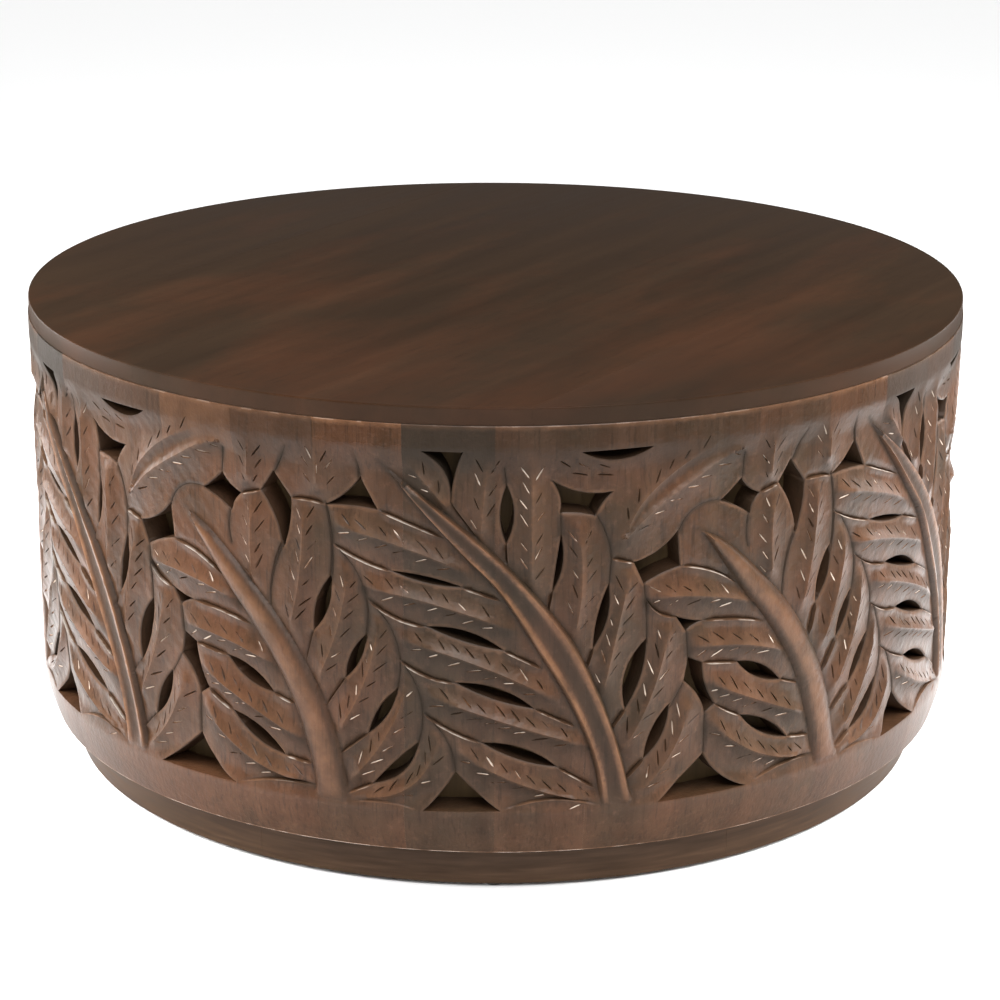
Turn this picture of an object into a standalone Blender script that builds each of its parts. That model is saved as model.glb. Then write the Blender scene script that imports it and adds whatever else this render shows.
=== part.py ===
"""Round drum coffee table with a carved and pierced wall of coopered staves, in metres, +Z up."""
import math

import bmesh
import bpy
from mathutils import Matrix
from mathutils import Vector
from mathutils.geometry import delaunay_2d_cdt

# Overall sizes of the table
DRUM_RADIUS = 0.457
TABLE_HEIGHT = 0.457

# Top disc, edge-glued from boards
TOP_THICKNESS = 0.016
TOP_SETBACK = 0.001
TOP_BOARDS = 5
GRAIN_ANGLE = 57.0
TOP_FACETS = 96

# Drum wall, coopered from staves, with one carved repeat to every six staves
REPEATS = 6
STAVES_PER_REPEAT = 6
WALL_FOOT = 0.045
FOOT_ROUNDING_HEIGHT = 0.020
FOOT_ROUNDING_DEPTH = 0.013
FOOT_ROUNDING_CURVE = 1.5
FOOT_MIDDLE_ROW = 0.4
BAND_BELOW = 0.019
BAND_ABOVE = 0.020
RELIEF_DEPTH = 0.006
RELIEF_FADE = 0.022

# Plinth ring under the wall, lapped up behind it
PLINTH_SETBACK = 0.033
PLINTH_THICKNESS = 0.025
PLINTH_LAP = 0.035
PLINTH_SEGMENTS = 6
PLINTH_FACETS = 8

# Plywood liner behind the pierced wall, standing on the plinth
LINER_THICKNESS = 0.005
LINER_SHEETS = 2

# Pieces under the top
BATTEN_WIDTH = 0.050
BATTEN_THICKNESS = 0.020
BATTEN_OFFSET = 0.200
BATTEN_END_ROOM = 0.025
GLUE_BLOCK_LEG = 0.032
GLUE_BLOCK_LENGTH = 0.045
GLUE_BLOCK_REPEATS = (0, 2, 4)
GLUE_BLOCK_STAVE = -2

# Felt glides under the plinth
GLIDE_RADIUS = 0.009
GLIDE_THICKNESS = 0.003
GLIDE_FACETS = 20

# Room left for glue between two pieces that touch
GLUE_GAP = 0.0003

# The carving is drawn in degrees round the wall, a repeat being sixty, from two staves to the left
# of the front, and in hundredths of the carved field's height
DEGREES_PER_REPEAT = 60
FIRST_STAVE = -2

# Straight stretches that stand for one bowed side or line, unless its bow is under the least bow
SIDE_STEPS = 3
LINE_STEPS = 2
LEAST_BOW = 3

# Places on the wall closer than this are one place
SAME_PLACE = 0.00005

STAVES = REPEATS * STAVES_PER_REPEAT
STAVE_ANGLE = 2.0 * math.pi / STAVES
DRAWN_DEGREE = 2.0 * math.pi / (REPEATS * DEGREES_PER_REPEAT)
WALL_TOP = TABLE_HEIGHT - TOP_THICKNESS - GLUE_GAP
WALL_BACK = DRUM_RADIUS - PLINTH_SETBACK + GLUE_GAP
FIELD_BOTTOM = WALL_FOOT + FOOT_ROUNDING_HEIGHT + BAND_BELOW
FIELD_TOP = WALL_TOP - BAND_ABOVE
PLINTH_OUTER = DRUM_RADIUS - PLINTH_SETBACK
PLINTH_INNER = PLINTH_OUTER - PLINTH_THICKNESS
PLINTH_BOTTOM = GLIDE_THICKNESS + GLUE_GAP
PLINTH_TOP = WALL_FOOT + PLINTH_LAP
LINER_OUTER = WALL_BACK - GLUE_GAP
LINER_INNER = LINER_OUTER - LINER_THICKNESS

# Pierced openings, corners in turn to the left, each with the outward bow of the side that follows
# it, in hundredths of that side
OPENINGS = (
    ((-7.9, 99, -15), (-4.8, 85.2, -5), (-3.4, 99, 0)),
    ((9.2, 98.7, 16), (17.2, 99.1, 0)),
    ((1.25, 89.9, 11), (1.2, 74.5, 12)),
    ((6.2, 90.8, -10), (7.1, 82.3, -5), (10.9, 81.2, -6), (12.8, 87.2, -9)),
    ((7.2, 76, 1), (6.3, 61.4, 10)),
    ((12.55, 62.3, 5), (10.9, 45.4, 10)),
    ((17, 46.6, 15), (14.65, 27.9, 8)),
    ((19.8, 27.6, 9), (16.95, 13.4, 12)),
    ((15.4, 67.8, 0), (16.55, 61.9, -4), (20.8, 65.6, 0), (20.4, 75.1, -9)),
    ((20.5, 51.8, 0), (21.65, 47.6, -6), (23.5, 49.7, -4)),
    ((22.1, 39.9, 0), (21.6, 33.5, -9), (24.3, 23.9, 0), (25.5, 25.8, -7), (23.8, 38, 0)),
    ((28.4, 36.5, 11), (34.4, 28.7, 11)),
    ((29, 21.1, 10), (35.7, 11.6, 10)),
    ((18.4, 1, 0), (29.6, 1.3, -11), (24.2, 12.2, -2)),
    ((-7.9, 0.9, 0), (0.7, 1.3, -4), (-4.3, 11.6, -4)),
    ((25.6, 81.8, -4), (29.4, 77.2, -10), (30.7, 82.2, -9), (28.2, 86.9, -2)),
    ((34.9, 89.6, 0), (33.3, 84, -7), (36, 69.3, 5), (37.05, 83.1, 0)),
    ((45.2, 90.5, -7), (41.2, 82.5, -3), (47.1, 82.3, 0)),
    ((41.6, 63.2, 10), (39.6, 48.1, 12)),
    ((45.7, 48.1, 11), (43.3, 35.9, 10)),
    ((49.2, 33.8, 9), (45.9, 21.1, 10)),
    ((51.5, 19.3, 3), (46.4, 7, 17)),
    ((-11.2, 66, 5), (-3.7, 62.6, 4)),
    ((-7.3, 51.5, 4), (0.9, 45.5, 10)),
    ((-4.2, 36.4, 4), (4.3, 29.4, 10)),
    ((-1.3, 19.9, 6), (6.9, 12.9, 10)),
)

# Midribs of the leaflets, from tip to root, with the bow to the right of that way, in hundredths
MIDRIBS = (
    (-17.3, 77.4, -3.4, 67.2, -3),
    (-14.5, 61.7, 1.6, 51.6, -4),
    (-9.5, 47.5, 6.5, 32.3, -4),
    (-6.8, 32.6, 9.6, 19.3, 0),
    (-3.5, 16.9, 11.5, 2.7, 5),
    (-8.8, 94.4, -5, 83.7, 0),
    (-0.8, 96.7, -1.6, 75.4, 0),
    (4, 95.3, 4, 63.2, 0),
    (9, 78.3, 8.7, 49.3, -5),
    (14.7, 64.1, 12.1, 35, 0),
    (19.3, 48.7, 14.7, 18.4, -6),
    (21.9, 25.5, 16, 3.9, -8),
    (17.3, 58.2, 30.2, 52.7, -5),
    (22.9, 43, 34.6, 37.1, -5),
    (25, 32, 38, 17.5, 1),
    (25.3, 20.5, 39.5, 5, 10),
    (32.4, 80.7, 32.4, 59.3, 3),
    (38.7, 81, 36.9, 48.4, -4),
    (43.8, 65, 40.2, 35.3, -5),
    (47.2, 51.6, 42.5, 21.4, -6),
    (50.4, 36.5, 44, 8.3, -7),
    (53.8, 21.1, 44.5, 3.3, -21),
    (13.8, 74.8, 26.3, 96.7, -6),
)

# Cut lines between the leaflets, with the bow to the right of the way they are drawn, in hundredths
CUTS = (
    (-17.9, 72.1, -11.2, 66, 4),
    (-3.7, 62.6, 0, 59.6, 0),
    (-13.8, 57.9, -7.3, 51.5, 9),
    (0.9, 45.5, 4.6, 41.1, 0),
    (-10.3, 42, -4.2, 36.4, 9),
    (4.3, 29.4, 8.4, 24.6, 0),
    (-7.6, 27.3, -1.3, 19.9, 5),
    (6.9, 12.9, 10.8, 7.1, 0),
    (-12.9, 82.3, -6.2, 76.3, 0),
    (-18.8, 82.5, -18.4, 63.2, -6),
    (-17.9, 72.1, -14.3, 48.1, -16),
    (-13.8, 57.9, -10.8, 33.8, -17),
    (-10.3, 42, -8.5, 19.3, -15),
    (-7.6, 27.3, -4.3, 11.6, -12),
    (36, 69.3, 34.6, 54, 8),
    (39.6, 48.1, 38.8, 40.9, 0),
    (43.3, 35.9, 41.3, 28.8, 0),
    (45.9, 21.1, 43, 15.4, 0),
    (46.4, 7, 43.9, 4.3, 0),
    (-4.8, 85.2, -2.3, 77.2, 0),
    (1.2, 74.5, 1.3, 69.7, 0),
    (6.3, 61.4, 5.9, 57, 0),
    (7.1, 82.3, 7.2, 76, 0),
    (10.9, 45.4, 10.3, 40.9, 0),
    (12.55, 62.3, 12.8, 69.4, 0),
    (12.8, 69.4, 10.9, 81.2, 7),
    (12.8, 69.4, 15.4, 67.8, 0),
    (14.65, 27.9, 13.3, 23.4, 0),
    (17, 46.6, 16.55, 61.9, 2),
    (16.8, 57.9, 20.5, 51.8, 14),
    (16.95, 13.4, 15.1, 8.9, 0),
    (19.8, 27.6, 21.6, 33.5, 0),
    (21.65, 47.6, 22.1, 39.9, 0),
    (24.3, 23.9, 24.2, 12.2, 0),
    (20.4, 75.1, 25.6, 81.8, -23),
    (20.8, 65.6, 27.5, 59.1, -8),
    (29.4, 77.2, 29.3, 68.8, 9),
    (23.5, 49.7, 31.2, 46.7, -4),
    (23.8, 38, 28.4, 36.5, 0),
    (34.4, 28.7, 36.6, 26.9, 0),
    (25.5, 25.8, 29, 21.1, 3),
    (35.7, 11.6, 38.6, 10.5, 0),
    (30.7, 82.2, 33.3, 84, 0),
    (37.05, 83.1, 41.2, 82.5, -5),
)

# Edges of the two stems of a repeat, from foot to tip
STEMS = (
    (
        ((11.9, 2.1), (10.9, 15), (8.4, 29.8), (4.6, 45.4), (0.5, 61), (-4.2, 72.8), (-12.7, 95.5)),
        ((15.6, 2.1), (14.1, 16.3), (11.9, 31.5), (8.6, 47.6), (3.9, 62), (-2, 75.8), (-12.7, 95.5)),
    ),
    (
        ((39.9, 2.1), (38.5, 16.5), (36, 32.3), (31.8, 47.6), (28.2, 58), (24.2, 71.5), (22.8, 75.2)),
        ((43.7, 2.1), (42.2, 18.7), (39.9, 32.9), (36.2, 47), (32.2, 58), (26.8, 70), (22.8, 75.2)),
    ),
)

WOODS = {
    "top_wood": ((0.069, 0.039, 0.026), 0.32),
    "drum_wood": ((0.080, 0.043, 0.028), 0.42),
    "plinth_wood": ((0.036, 0.020, 0.013), 0.50),
    "liner_wood": ((0.050, 0.032, 0.018), 0.60),
    "inner_wood": ((0.230, 0.140, 0.080), 0.70),
    "glide_felt": ((0.030, 0.026, 0.024), 0.95),
}


def clear_scene():
    """Take away whatever the scene holds."""
    for found in list(bpy.data.objects):
        bpy.data.objects.remove(found, do_unlink=True)


def make_materials():
    """One stained or plain finish per kind of piece."""
    made = {}
    for name, (colour, roughness) in WOODS.items():
        material = bpy.data.materials.new(name)
        material.use_nodes = True
        shader = material.node_tree.nodes["Principled BSDF"]
        shader.inputs["Base Color"].default_value = (*colour, 1.0)
        shader.inputs["Roughness"].default_value = roughness
        shader.inputs["Metallic"].default_value = 0.0
        material.diffuse_color = (*colour, 1.0)
        made[name] = material
    return made


def add_piece(name, mesh_data, material):
    """Put one finished body into the table's collection."""
    bmesh.ops.recalc_face_normals(mesh_data, faces=mesh_data.faces)
    mesh = bpy.data.meshes.new(name)
    mesh_data.to_mesh(mesh)
    mesh_data.free()
    mesh.materials.append(material)
    piece = bpy.data.objects.new(name, mesh)
    table.objects.link(piece)
    return piece


def on_drum(angle, radius, height):
    """A place at an angle round the drum, nought at the front and growing to the right."""
    return Vector((radius * math.sin(angle), -radius * math.cos(angle), height))


def flat(degrees, share):
    """A drawn place on the unrolled wall, as its way along the wall and its height."""
    height = FIELD_BOTTOM + share / 100 * (FIELD_TOP - FIELD_BOTTOM)
    return Vector((degrees * DRAWN_DEGREE * DRUM_RADIUS, height))


def bowed(start, end, bow, steps):
    """A side or line from start to end, bowed to the right of that way."""
    along = end - start
    right = Vector((along.y, -along.x))
    line = []
    for step in range(steps + 1):
        part = step / steps
        line.append(start + along * part + right * (4 * bow / 100 * part * (1 - part)))
    return line


def line_through(corners):
    """A drawn line straight from corner to corner."""
    return [flat(degrees, share) for degrees, share in corners]


def draw_opening(corners):
    """The closed outline of one pierced opening."""
    outline = []
    for place, (degrees, share, bow) in enumerate(corners):
        following = corners[(place + 1) % len(corners)]
        steps = SIDE_STEPS if abs(bow) > LEAST_BOW else 1
        side = bowed(flat(degrees, share), flat(following[0], following[1]), bow, steps)
        outline.extend(side[:-1])
    return outline


def draw_stroke(stroke):
    """One midrib or cut line."""
    steps = LINE_STEPS if abs(stroke[4]) > LEAST_BOW else 1
    return bowed(flat(stroke[0], stroke[1]), flat(stroke[2], stroke[3]), stroke[4], steps)


def moved(line, turns):
    """The same line one or more repeats further round."""
    step = Vector((2.0 * math.pi / REPEATS * turns * DRUM_RADIUS, 0.0))
    return [place + step for place in line]


def repeated(lines):
    """Every line with its copies on the neighbouring repeats."""
    return [moved(line, turns) for turns in (-1, 0, 1) for line in lines]


def closed(line):
    """The line with its first place put again at the end."""
    return line + line[:1]


def nearest(place, lines):
    """Shortest way from a place to any of the lines."""
    shortest = DRUM_RADIUS
    for line in lines:
        for start, end in zip(line, line[1:]):
            along = end - start
            part = (place - start).dot(along) / along.length_squared
            part = min(1.0, max(0.0, part))
            shortest = min(shortest, (start + along * part - place).length)
    return shortest


def near_lines(lines, left, right):
    """The lines that come into a stretch of the unrolled wall."""
    chosen = []
    for line in lines:
        if max(place.x for place in line) > left and min(place.x for place in line) < right:
            chosen.append(line)
    return chosen


def inside(place, outline):
    """True where a place lies within an opening."""
    within = False
    for start, end in zip(outline, closed(outline)[1:]):
        if (start.y > place.y) != (end.y > place.y):
            cross = start.x + (end.x - start.x) * (place.y - start.y) / (end.y - start.y)
            if place.x < cross:
                within = not within
    return within


def middle_of(places, face):
    """The middle of a flat face."""
    return sum((places[corner] for corner in face), Vector((0.0, 0.0))) / len(face)


def edge_count(faces):
    """How many faces meet at each edge."""
    times = {}
    for face in faces:
        for one, other in zip(face, face[1:] + face[:1]):
            edge = (min(one, other), max(one, other))
            times[edge] = times.get(edge, 0) + 1
    return times


def carved_depth(place, high_lines, low_lines):
    """How far the carving lies below the plain bands at a place on the wall."""
    height = place.y
    if height < FIELD_BOTTOM:
        part = (FIELD_BOTTOM - BAND_BELOW - height) / FOOT_ROUNDING_HEIGHT
        return FOOT_ROUNDING_DEPTH * max(0.0, part) ** FOOT_ROUNDING_CURVE
    fade = min(1.0, (height - FIELD_BOTTOM) / RELIEF_FADE, (FIELD_TOP - height) / RELIEF_FADE)
    if fade <= 0.0:
        return 0.0
    up = nearest(place, high_lines)
    down = nearest(place, low_lines)
    return RELIEF_DEPTH * fade * up / max(up + down, SAME_PLACE)


def make_stave(number, openings, ribs, cuts):
    """The flat drawing of one stave cut out, carved, given its thickness and set round the drum."""
    width = STAVE_ANGLE * DRUM_RADIUS
    left = number * width + 0.5 * GLUE_GAP
    right = (number + 1) * width - 0.5 * GLUE_GAP
    middle = 0.5 * (left + right)
    holes = near_lines(openings, left, right)
    high_lines = near_lines(ribs, left - width, right + width)
    low_lines = near_lines(cuts, left - width, right + width)
    low_lines += [closed(outline) for outline in near_lines(openings, left - width, right + width)]

    # Rows of the plain bands and of the rounded foot
    foot_row = FIELD_BOTTOM - BAND_BELOW
    middle_row = WALL_FOOT + FOOT_MIDDLE_ROW * FOOT_ROUNDING_HEIGHT
    rows = (WALL_FOOT, middle_row, foot_row, FIELD_BOTTOM, FIELD_TOP, WALL_TOP)
    places = []
    edges = []

    def find(place):
        for number, known in enumerate(places):
            if (known - place).length < SAME_PLACE:
                return number
        places.append(place)
        return len(places) - 1

    def put(line):
        numbers = [find(place) for place in line]
        edges.extend(zip(numbers, numbers[1:]))

    for row in rows:
        put([Vector((left, row)), Vector((middle, row)), Vector((right, row))])
    for side in (left, right):
        put([Vector((side, WALL_FOOT)), Vector((side, WALL_TOP))])
    for outline in holes:
        put(closed(outline))
    for line in near_lines(ribs, left, right) + near_lines(cuts, left, right):
        put(line)

    def on_stave(place):
        if not left < place.x < right or not WALL_FOOT < place.y < WALL_TOP:
            return False
        return not any(inside(place, outline) for outline in holes)

    found, _, faces, _, _, _ = delaunay_2d_cdt(places, edges, [], 0, SAME_PLACE, False)
    kept = [face for face in faces if on_stave(middle_of(found, face))]
    shell = bmesh.new()
    built = {}
    for corner in sorted(set(end for face in kept for end in face)):
        place = found[corner]
        radius = DRUM_RADIUS - carved_depth(place, high_lines, low_lines)
        built[corner] = shell.verts.new(on_drum(place.x / DRUM_RADIUS, radius, place.y))
    for face in kept:
        shell.faces.new([built[corner] for corner in face])

    # Side walls run straight in to the flat back, which is filled within the same rim
    rim = [edge for edge, times in edge_count(kept).items() if times == 1]
    facing = on_drum(middle / DRUM_RADIUS, 1.0, 0.0)
    backs = {}
    for corner in sorted(set(end for edge in rim for end in edge)):
        front = built[corner].co
        reach = WALL_BACK / (front.x * facing.x + front.y * facing.y)
        backs[corner] = shell.verts.new((front.x * reach, front.y * reach, front.z))
    for one, other in rim:
        shell.faces.new((built[one], built[other], backs[other], backs[one]))
    order = list(backs)
    rim_edges = [(order.index(one), order.index(other)) for one, other in rim]
    rim_places = [found[corner] for corner in order]
    spots, _, faces, sources, _, _ = delaunay_2d_cdt(rim_places, rim_edges, [], 0, 0.0, True)
    for face in faces:
        if on_stave(middle_of(spots, face)):
            shell.faces.new([backs[order[sources[corner][0]]] for corner in face])
    return shell


def make_wall(materials):
    """Six carved staves, each set round the drum once in every repeat."""
    openings = repeated([draw_opening(corners) for corners in OPENINGS])
    ribs = [draw_stroke(stroke) for stroke in MIDRIBS]
    cuts = [draw_stroke(stroke) for stroke in CUTS]
    for left_edge, right_edge in STEMS:
        left_line = line_through(left_edge)
        right_line = line_through(right_edge)
        cuts.append(left_line)
        cuts.append(right_line)
        ribs.append([0.5 * (one + other) for one, other in zip(left_line, right_line)])
    ribs = repeated(ribs)
    cuts = repeated(cuts)
    for number in range(STAVES_PER_REPEAT):
        place = FIRST_STAVE + number
        for repeat in range(REPEATS):
            stave = make_stave(place, openings, ribs, cuts) if repeat == 0 else first.copy()
            if repeat == 0:
                first = stave.copy()
            turn = Matrix.Rotation(2.0 * math.pi * repeat / REPEATS, 3, "Z")
            bmesh.ops.transform(stave, matrix=turn.to_4x4(), verts=stave.verts)
            order = number + repeat * STAVES_PER_REPEAT + 1
            add_piece("drum_stave_%02d" % order, stave, materials["drum_wood"])
        first.free()


def make_top(materials):
    """A disc sawn into edge-glued boards that lie along the grain."""
    radius = DRUM_RADIUS - TOP_SETBACK
    width = 2.0 * radius / TOP_BOARDS
    across = Vector((-math.sin(math.radians(GRAIN_ANGLE)), math.cos(math.radians(GRAIN_ANGLE)), 0.0))
    for number in range(TOP_BOARDS):
        disc = bmesh.new()
        level = Matrix.Translation((0.0, 0.0, TABLE_HEIGHT - 0.5 * TOP_THICKNESS))
        bmesh.ops.create_cone(
            disc,
            cap_ends=True,
            segments=TOP_FACETS,
            radius1=radius,
            radius2=radius,
            depth=TOP_THICKNESS,
            matrix=level,
        )
        for side, line in ((-1.0, number), (1.0, number + 1)):
            if line in (0, TOP_BOARDS):
                continue
            saw = across * (line * width - radius - side * 0.5 * GLUE_GAP)
            everything = list(disc.verts) + list(disc.edges) + list(disc.faces)
            bmesh.ops.bisect_plane(
                disc,
                geom=everything,
                dist=1e-6,
                plane_co=saw,
                plane_no=across * side,
                clear_outer=True,
            )
            open_edges = [edge for edge in disc.edges if edge.is_boundary]
            bmesh.ops.holes_fill(disc, edges=open_edges, sides=0)
        add_piece("top_board_%d" % (number + 1), disc, materials["top_wood"])


def ring_piece(section, start, span, steps):
    """A stretch of a ring: a closed section carried round the drum and closed at both ends."""
    body = bmesh.new()
    corners = [body.verts.new(on_drum(start, radius, height)) for radius, height in section]
    loop = [body.edges.new((one, other)) for one, other in zip(corners, corners[1:] + corners[:1])]
    bmesh.ops.spin(
        body,
        geom=corners + loop,
        cent=(0.0, 0.0, 0.0),
        axis=(0.0, 0.0, 1.0),
        angle=span,
        steps=steps,
        use_duplicate=False,
    )
    bmesh.ops.holes_fill(body, edges=[edge for edge in body.edges if edge.is_boundary], sides=0)
    return body


def make_plinth(materials):
    """Ring segments butted end to end, standing on the glides and lapped up behind the wall."""
    section = (
        (PLINTH_INNER, PLINTH_BOTTOM),
        (PLINTH_OUTER, PLINTH_BOTTOM),
        (PLINTH_OUTER, PLINTH_TOP),
        (PLINTH_INNER, PLINTH_TOP),
    )
    span = 2.0 * math.pi / PLINTH_SEGMENTS
    gap = GLUE_GAP / PLINTH_INNER
    for number in range(PLINTH_SEGMENTS):
        start = (number - 0.5) * span + 0.5 * gap
        body = ring_piece(section, start, span - gap, PLINTH_FACETS)
        add_piece("plinth_segment_%d" % (number + 1), body, materials["plinth_wood"])


def make_liner(materials):
    """Bent sheets with a flat to each stave, glued behind the wall so that nothing shows through it."""
    corner = 1.0 / math.cos(0.5 * STAVE_ANGLE)
    section = (
        (LINER_INNER * corner, PLINTH_TOP + GLUE_GAP),
        (LINER_OUTER * corner, PLINTH_TOP + GLUE_GAP),
        (LINER_OUTER * corner, WALL_TOP),
        (LINER_INNER * corner, WALL_TOP),
    )
    span = 2.0 * math.pi / LINER_SHEETS
    gap = GLUE_GAP / LINER_INNER
    for number in range(LINER_SHEETS):
        start = FIRST_STAVE * STAVE_ANGLE + number * span + 0.5 * gap
        body = ring_piece(section, start, span - gap, STAVES // LINER_SHEETS)
        add_piece("liner_sheet_%d" % (number + 1), body, materials["liner_wood"])


def make_battens(materials):
    """Two flat battens across the grain, screwed up into the top."""
    level = WALL_TOP - 0.5 * BATTEN_THICKNESS
    reach = LINER_INNER - BATTEN_END_ROOM
    half = math.sqrt(reach**2 - (BATTEN_OFFSET + 0.5 * BATTEN_WIDTH) ** 2)
    turn = Matrix.Rotation(math.radians(GRAIN_ANGLE), 4, "Z")
    for number, side in enumerate((-1.0, 1.0)):
        body = bmesh.new()
        size = Matrix.Diagonal((BATTEN_WIDTH, 2.0 * half, BATTEN_THICKNESS, 1.0))
        place = turn @ Matrix.Translation((side * BATTEN_OFFSET, 0.0, level)) @ size
        bmesh.ops.create_cube(body, size=1.0, matrix=place)
        add_piece("top_batten_%d" % (number + 1), body, materials["inner_wood"])


def make_glue_blocks(materials):
    """Triangular blocks in the corner between the liner and the top, behind three staves."""
    for number, repeat in enumerate(GLUE_BLOCK_REPEATS):
        angle = STAVE_ANGLE * (repeat * STAVES_PER_REPEAT + GLUE_BLOCK_STAVE + 0.5)
        outer = LINER_INNER - GLUE_GAP
        body = bmesh.new()
        half = 0.5 * GLUE_BLOCK_LENGTH
        inner = outer - GLUE_BLOCK_LEG
        section = ((outer, WALL_TOP), (outer, WALL_TOP - GLUE_BLOCK_LEG), (inner, WALL_TOP))
        ends = []
        for side in (-half, half):
            ends.append([body.verts.new((side, -radius, height)) for radius, height in section])
        body.faces.new(ends[0])
        body.faces.new(ends[1])
        for step in range(len(section)):
            after = (step + 1) % len(section)
            body.faces.new((ends[0][step], ends[0][after], ends[1][after], ends[1][step]))
        bmesh.ops.transform(body, matrix=Matrix.Rotation(angle, 4, "Z"), verts=body.verts)
        add_piece("glue_block_%d" % (number + 1), body, materials["inner_wood"])


def make_glides(materials):
    """A felt disc under the middle of each plinth segment."""
    middle = 0.5 * (PLINTH_INNER + PLINTH_OUTER)
    for number in range(PLINTH_SEGMENTS):
        body = bmesh.new()
        angle = 2.0 * math.pi * number / PLINTH_SEGMENTS
        place = Matrix.Translation(on_drum(angle, middle, 0.5 * GLIDE_THICKNESS))
        bmesh.ops.create_cone(
            body,
            cap_ends=True,
            segments=GLIDE_FACETS,
            radius1=GLIDE_RADIUS,
            radius2=GLIDE_RADIUS,
            depth=GLIDE_THICKNESS,
            matrix=place,
        )
        add_piece("floor_glide_%d" % (number + 1), body, materials["glide_felt"])


clear_scene()
table = bpy.data.collections.new("carved_drum_table")
bpy.context.scene.collection.children.link(table)
finishes = make_materials()
make_wall(finishes)
make_top(finishes)
make_plinth(finishes)
make_liner(finishes)
make_battens(finishes)
make_glue_blocks(finishes)
make_glides(finishes)
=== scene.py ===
import math
import random

import bpy
import numpy as np
from mathutils import Matrix, Vector
from mathutils.geometry import delaunay_2d_cdt
from mathutils.kdtree import KDTree


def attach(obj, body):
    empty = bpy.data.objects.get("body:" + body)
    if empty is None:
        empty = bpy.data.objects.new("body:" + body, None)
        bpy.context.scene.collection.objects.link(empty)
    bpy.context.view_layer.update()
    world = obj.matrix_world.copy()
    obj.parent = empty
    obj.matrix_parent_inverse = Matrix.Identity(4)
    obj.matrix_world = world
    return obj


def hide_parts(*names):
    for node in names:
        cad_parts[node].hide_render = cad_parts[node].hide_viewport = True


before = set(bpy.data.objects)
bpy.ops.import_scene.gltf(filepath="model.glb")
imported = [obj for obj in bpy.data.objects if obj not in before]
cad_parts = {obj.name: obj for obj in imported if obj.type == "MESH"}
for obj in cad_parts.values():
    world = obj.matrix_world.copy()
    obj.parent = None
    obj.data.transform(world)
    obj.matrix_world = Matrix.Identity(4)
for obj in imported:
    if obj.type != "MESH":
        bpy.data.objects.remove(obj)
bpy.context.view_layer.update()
bpy.ops.object.select_all(action="DESELECT")

# Floor glides
# Six small round pads of dark wool felt, glued under the plinth ring one to each segment, so that
# the heavy table slides without marking the floor.
GLIDE_RADIUS = 0.009
GLIDE_THICKNESS = 0.003
GLIDE_CIRCLE = 0.4115
GLIDE_EASE = 0.0007
FELT_COLOURS = ((0.3, (0.016, 0.014, 0.013)), (0.7, (0.055, 0.048, 0.044)))
CRISP_EDGE = math.radians(40.0)


def new_finish(name):
    """A new finish: its material, the tree of its steps, its shader and the place on the piece."""
    finish = bpy.data.materials.new(name)
    finish.use_nodes = True
    tree = finish.node_tree
    place = tree.nodes.new("ShaderNodeTexCoord").outputs["Object"]
    return finish, tree, tree.nodes["Principled BSDF"], place


def link_noise(tree, place, scale, detail, roughness=0.55):
    """A noise that follows a place on the piece."""
    noise = tree.nodes.new("ShaderNodeTexNoise")
    noise.inputs["Scale"].default_value = scale
    noise.inputs["Detail"].default_value = detail
    noise.inputs["Roughness"].default_value = roughness
    tree.links.new(place, noise.inputs["Vector"])
    return noise.outputs["Fac"]


def link_ramp(tree, value, stops):
    """Colours laid along a value from nought to one."""
    ramp = tree.nodes.new("ShaderNodeValToRGB")
    while len(ramp.color_ramp.elements) < len(stops):
        ramp.color_ramp.elements.new(0.5)
    for element, (position, colour) in zip(ramp.color_ramp.elements, stops):
        element.position = position
        element.color = (*colour, 1.0)
    tree.links.new(value, ramp.inputs["Fac"])
    return ramp.outputs["Color"]


def link_range(tree, value, low, high, to_low, to_high):
    """A value moved from one range to another."""
    moved = tree.nodes.new("ShaderNodeMapRange")
    moved.inputs["From Min"].default_value = low
    moved.inputs["From Max"].default_value = high
    moved.inputs["To Min"].default_value = to_low
    moved.inputs["To Max"].default_value = to_high
    tree.links.new(value, moved.inputs["Value"])
    return moved.outputs["Result"]


def link_bump(tree, shader, height, strength, distance):
    """A fine raised grain on the surface."""
    bump = tree.nodes.new("ShaderNodeBump")
    bump.inputs["Strength"].default_value = strength
    bump.inputs["Distance"].default_value = distance
    tree.links.new(height, bump.inputs["Height"])
    tree.links.new(bump.outputs["Normal"], shader.inputs["Normal"])


def turned_copy(first, number):
    """The first of six like pieces, or a copy of it turned on round the table."""
    if number == 1:
        return first
    piece = bpy.data.objects.new(first.name, first.data.copy())
    bpy.context.collection.objects.link(piece)
    piece.data.transform(Matrix.Rotation(math.radians(60.0 * (number - 1)), 4, "Z"))
    return piece


felt, tree, shader, place = new_finish("wool_felt")
fibres = link_noise(tree, place, scale=2600.0, detail=5.0)
tree.links.new(link_ramp(tree, fibres, FELT_COLOURS), shader.inputs["Base Color"])
tree.links.new(link_range(tree, fibres, 0.3, 0.7, 0.88, 0.98), shader.inputs["Roughness"])
shader.inputs["Sheen Weight"].default_value = 0.3
link_bump(tree, shader, fibres, strength=0.5, distance=0.0004)

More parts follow.
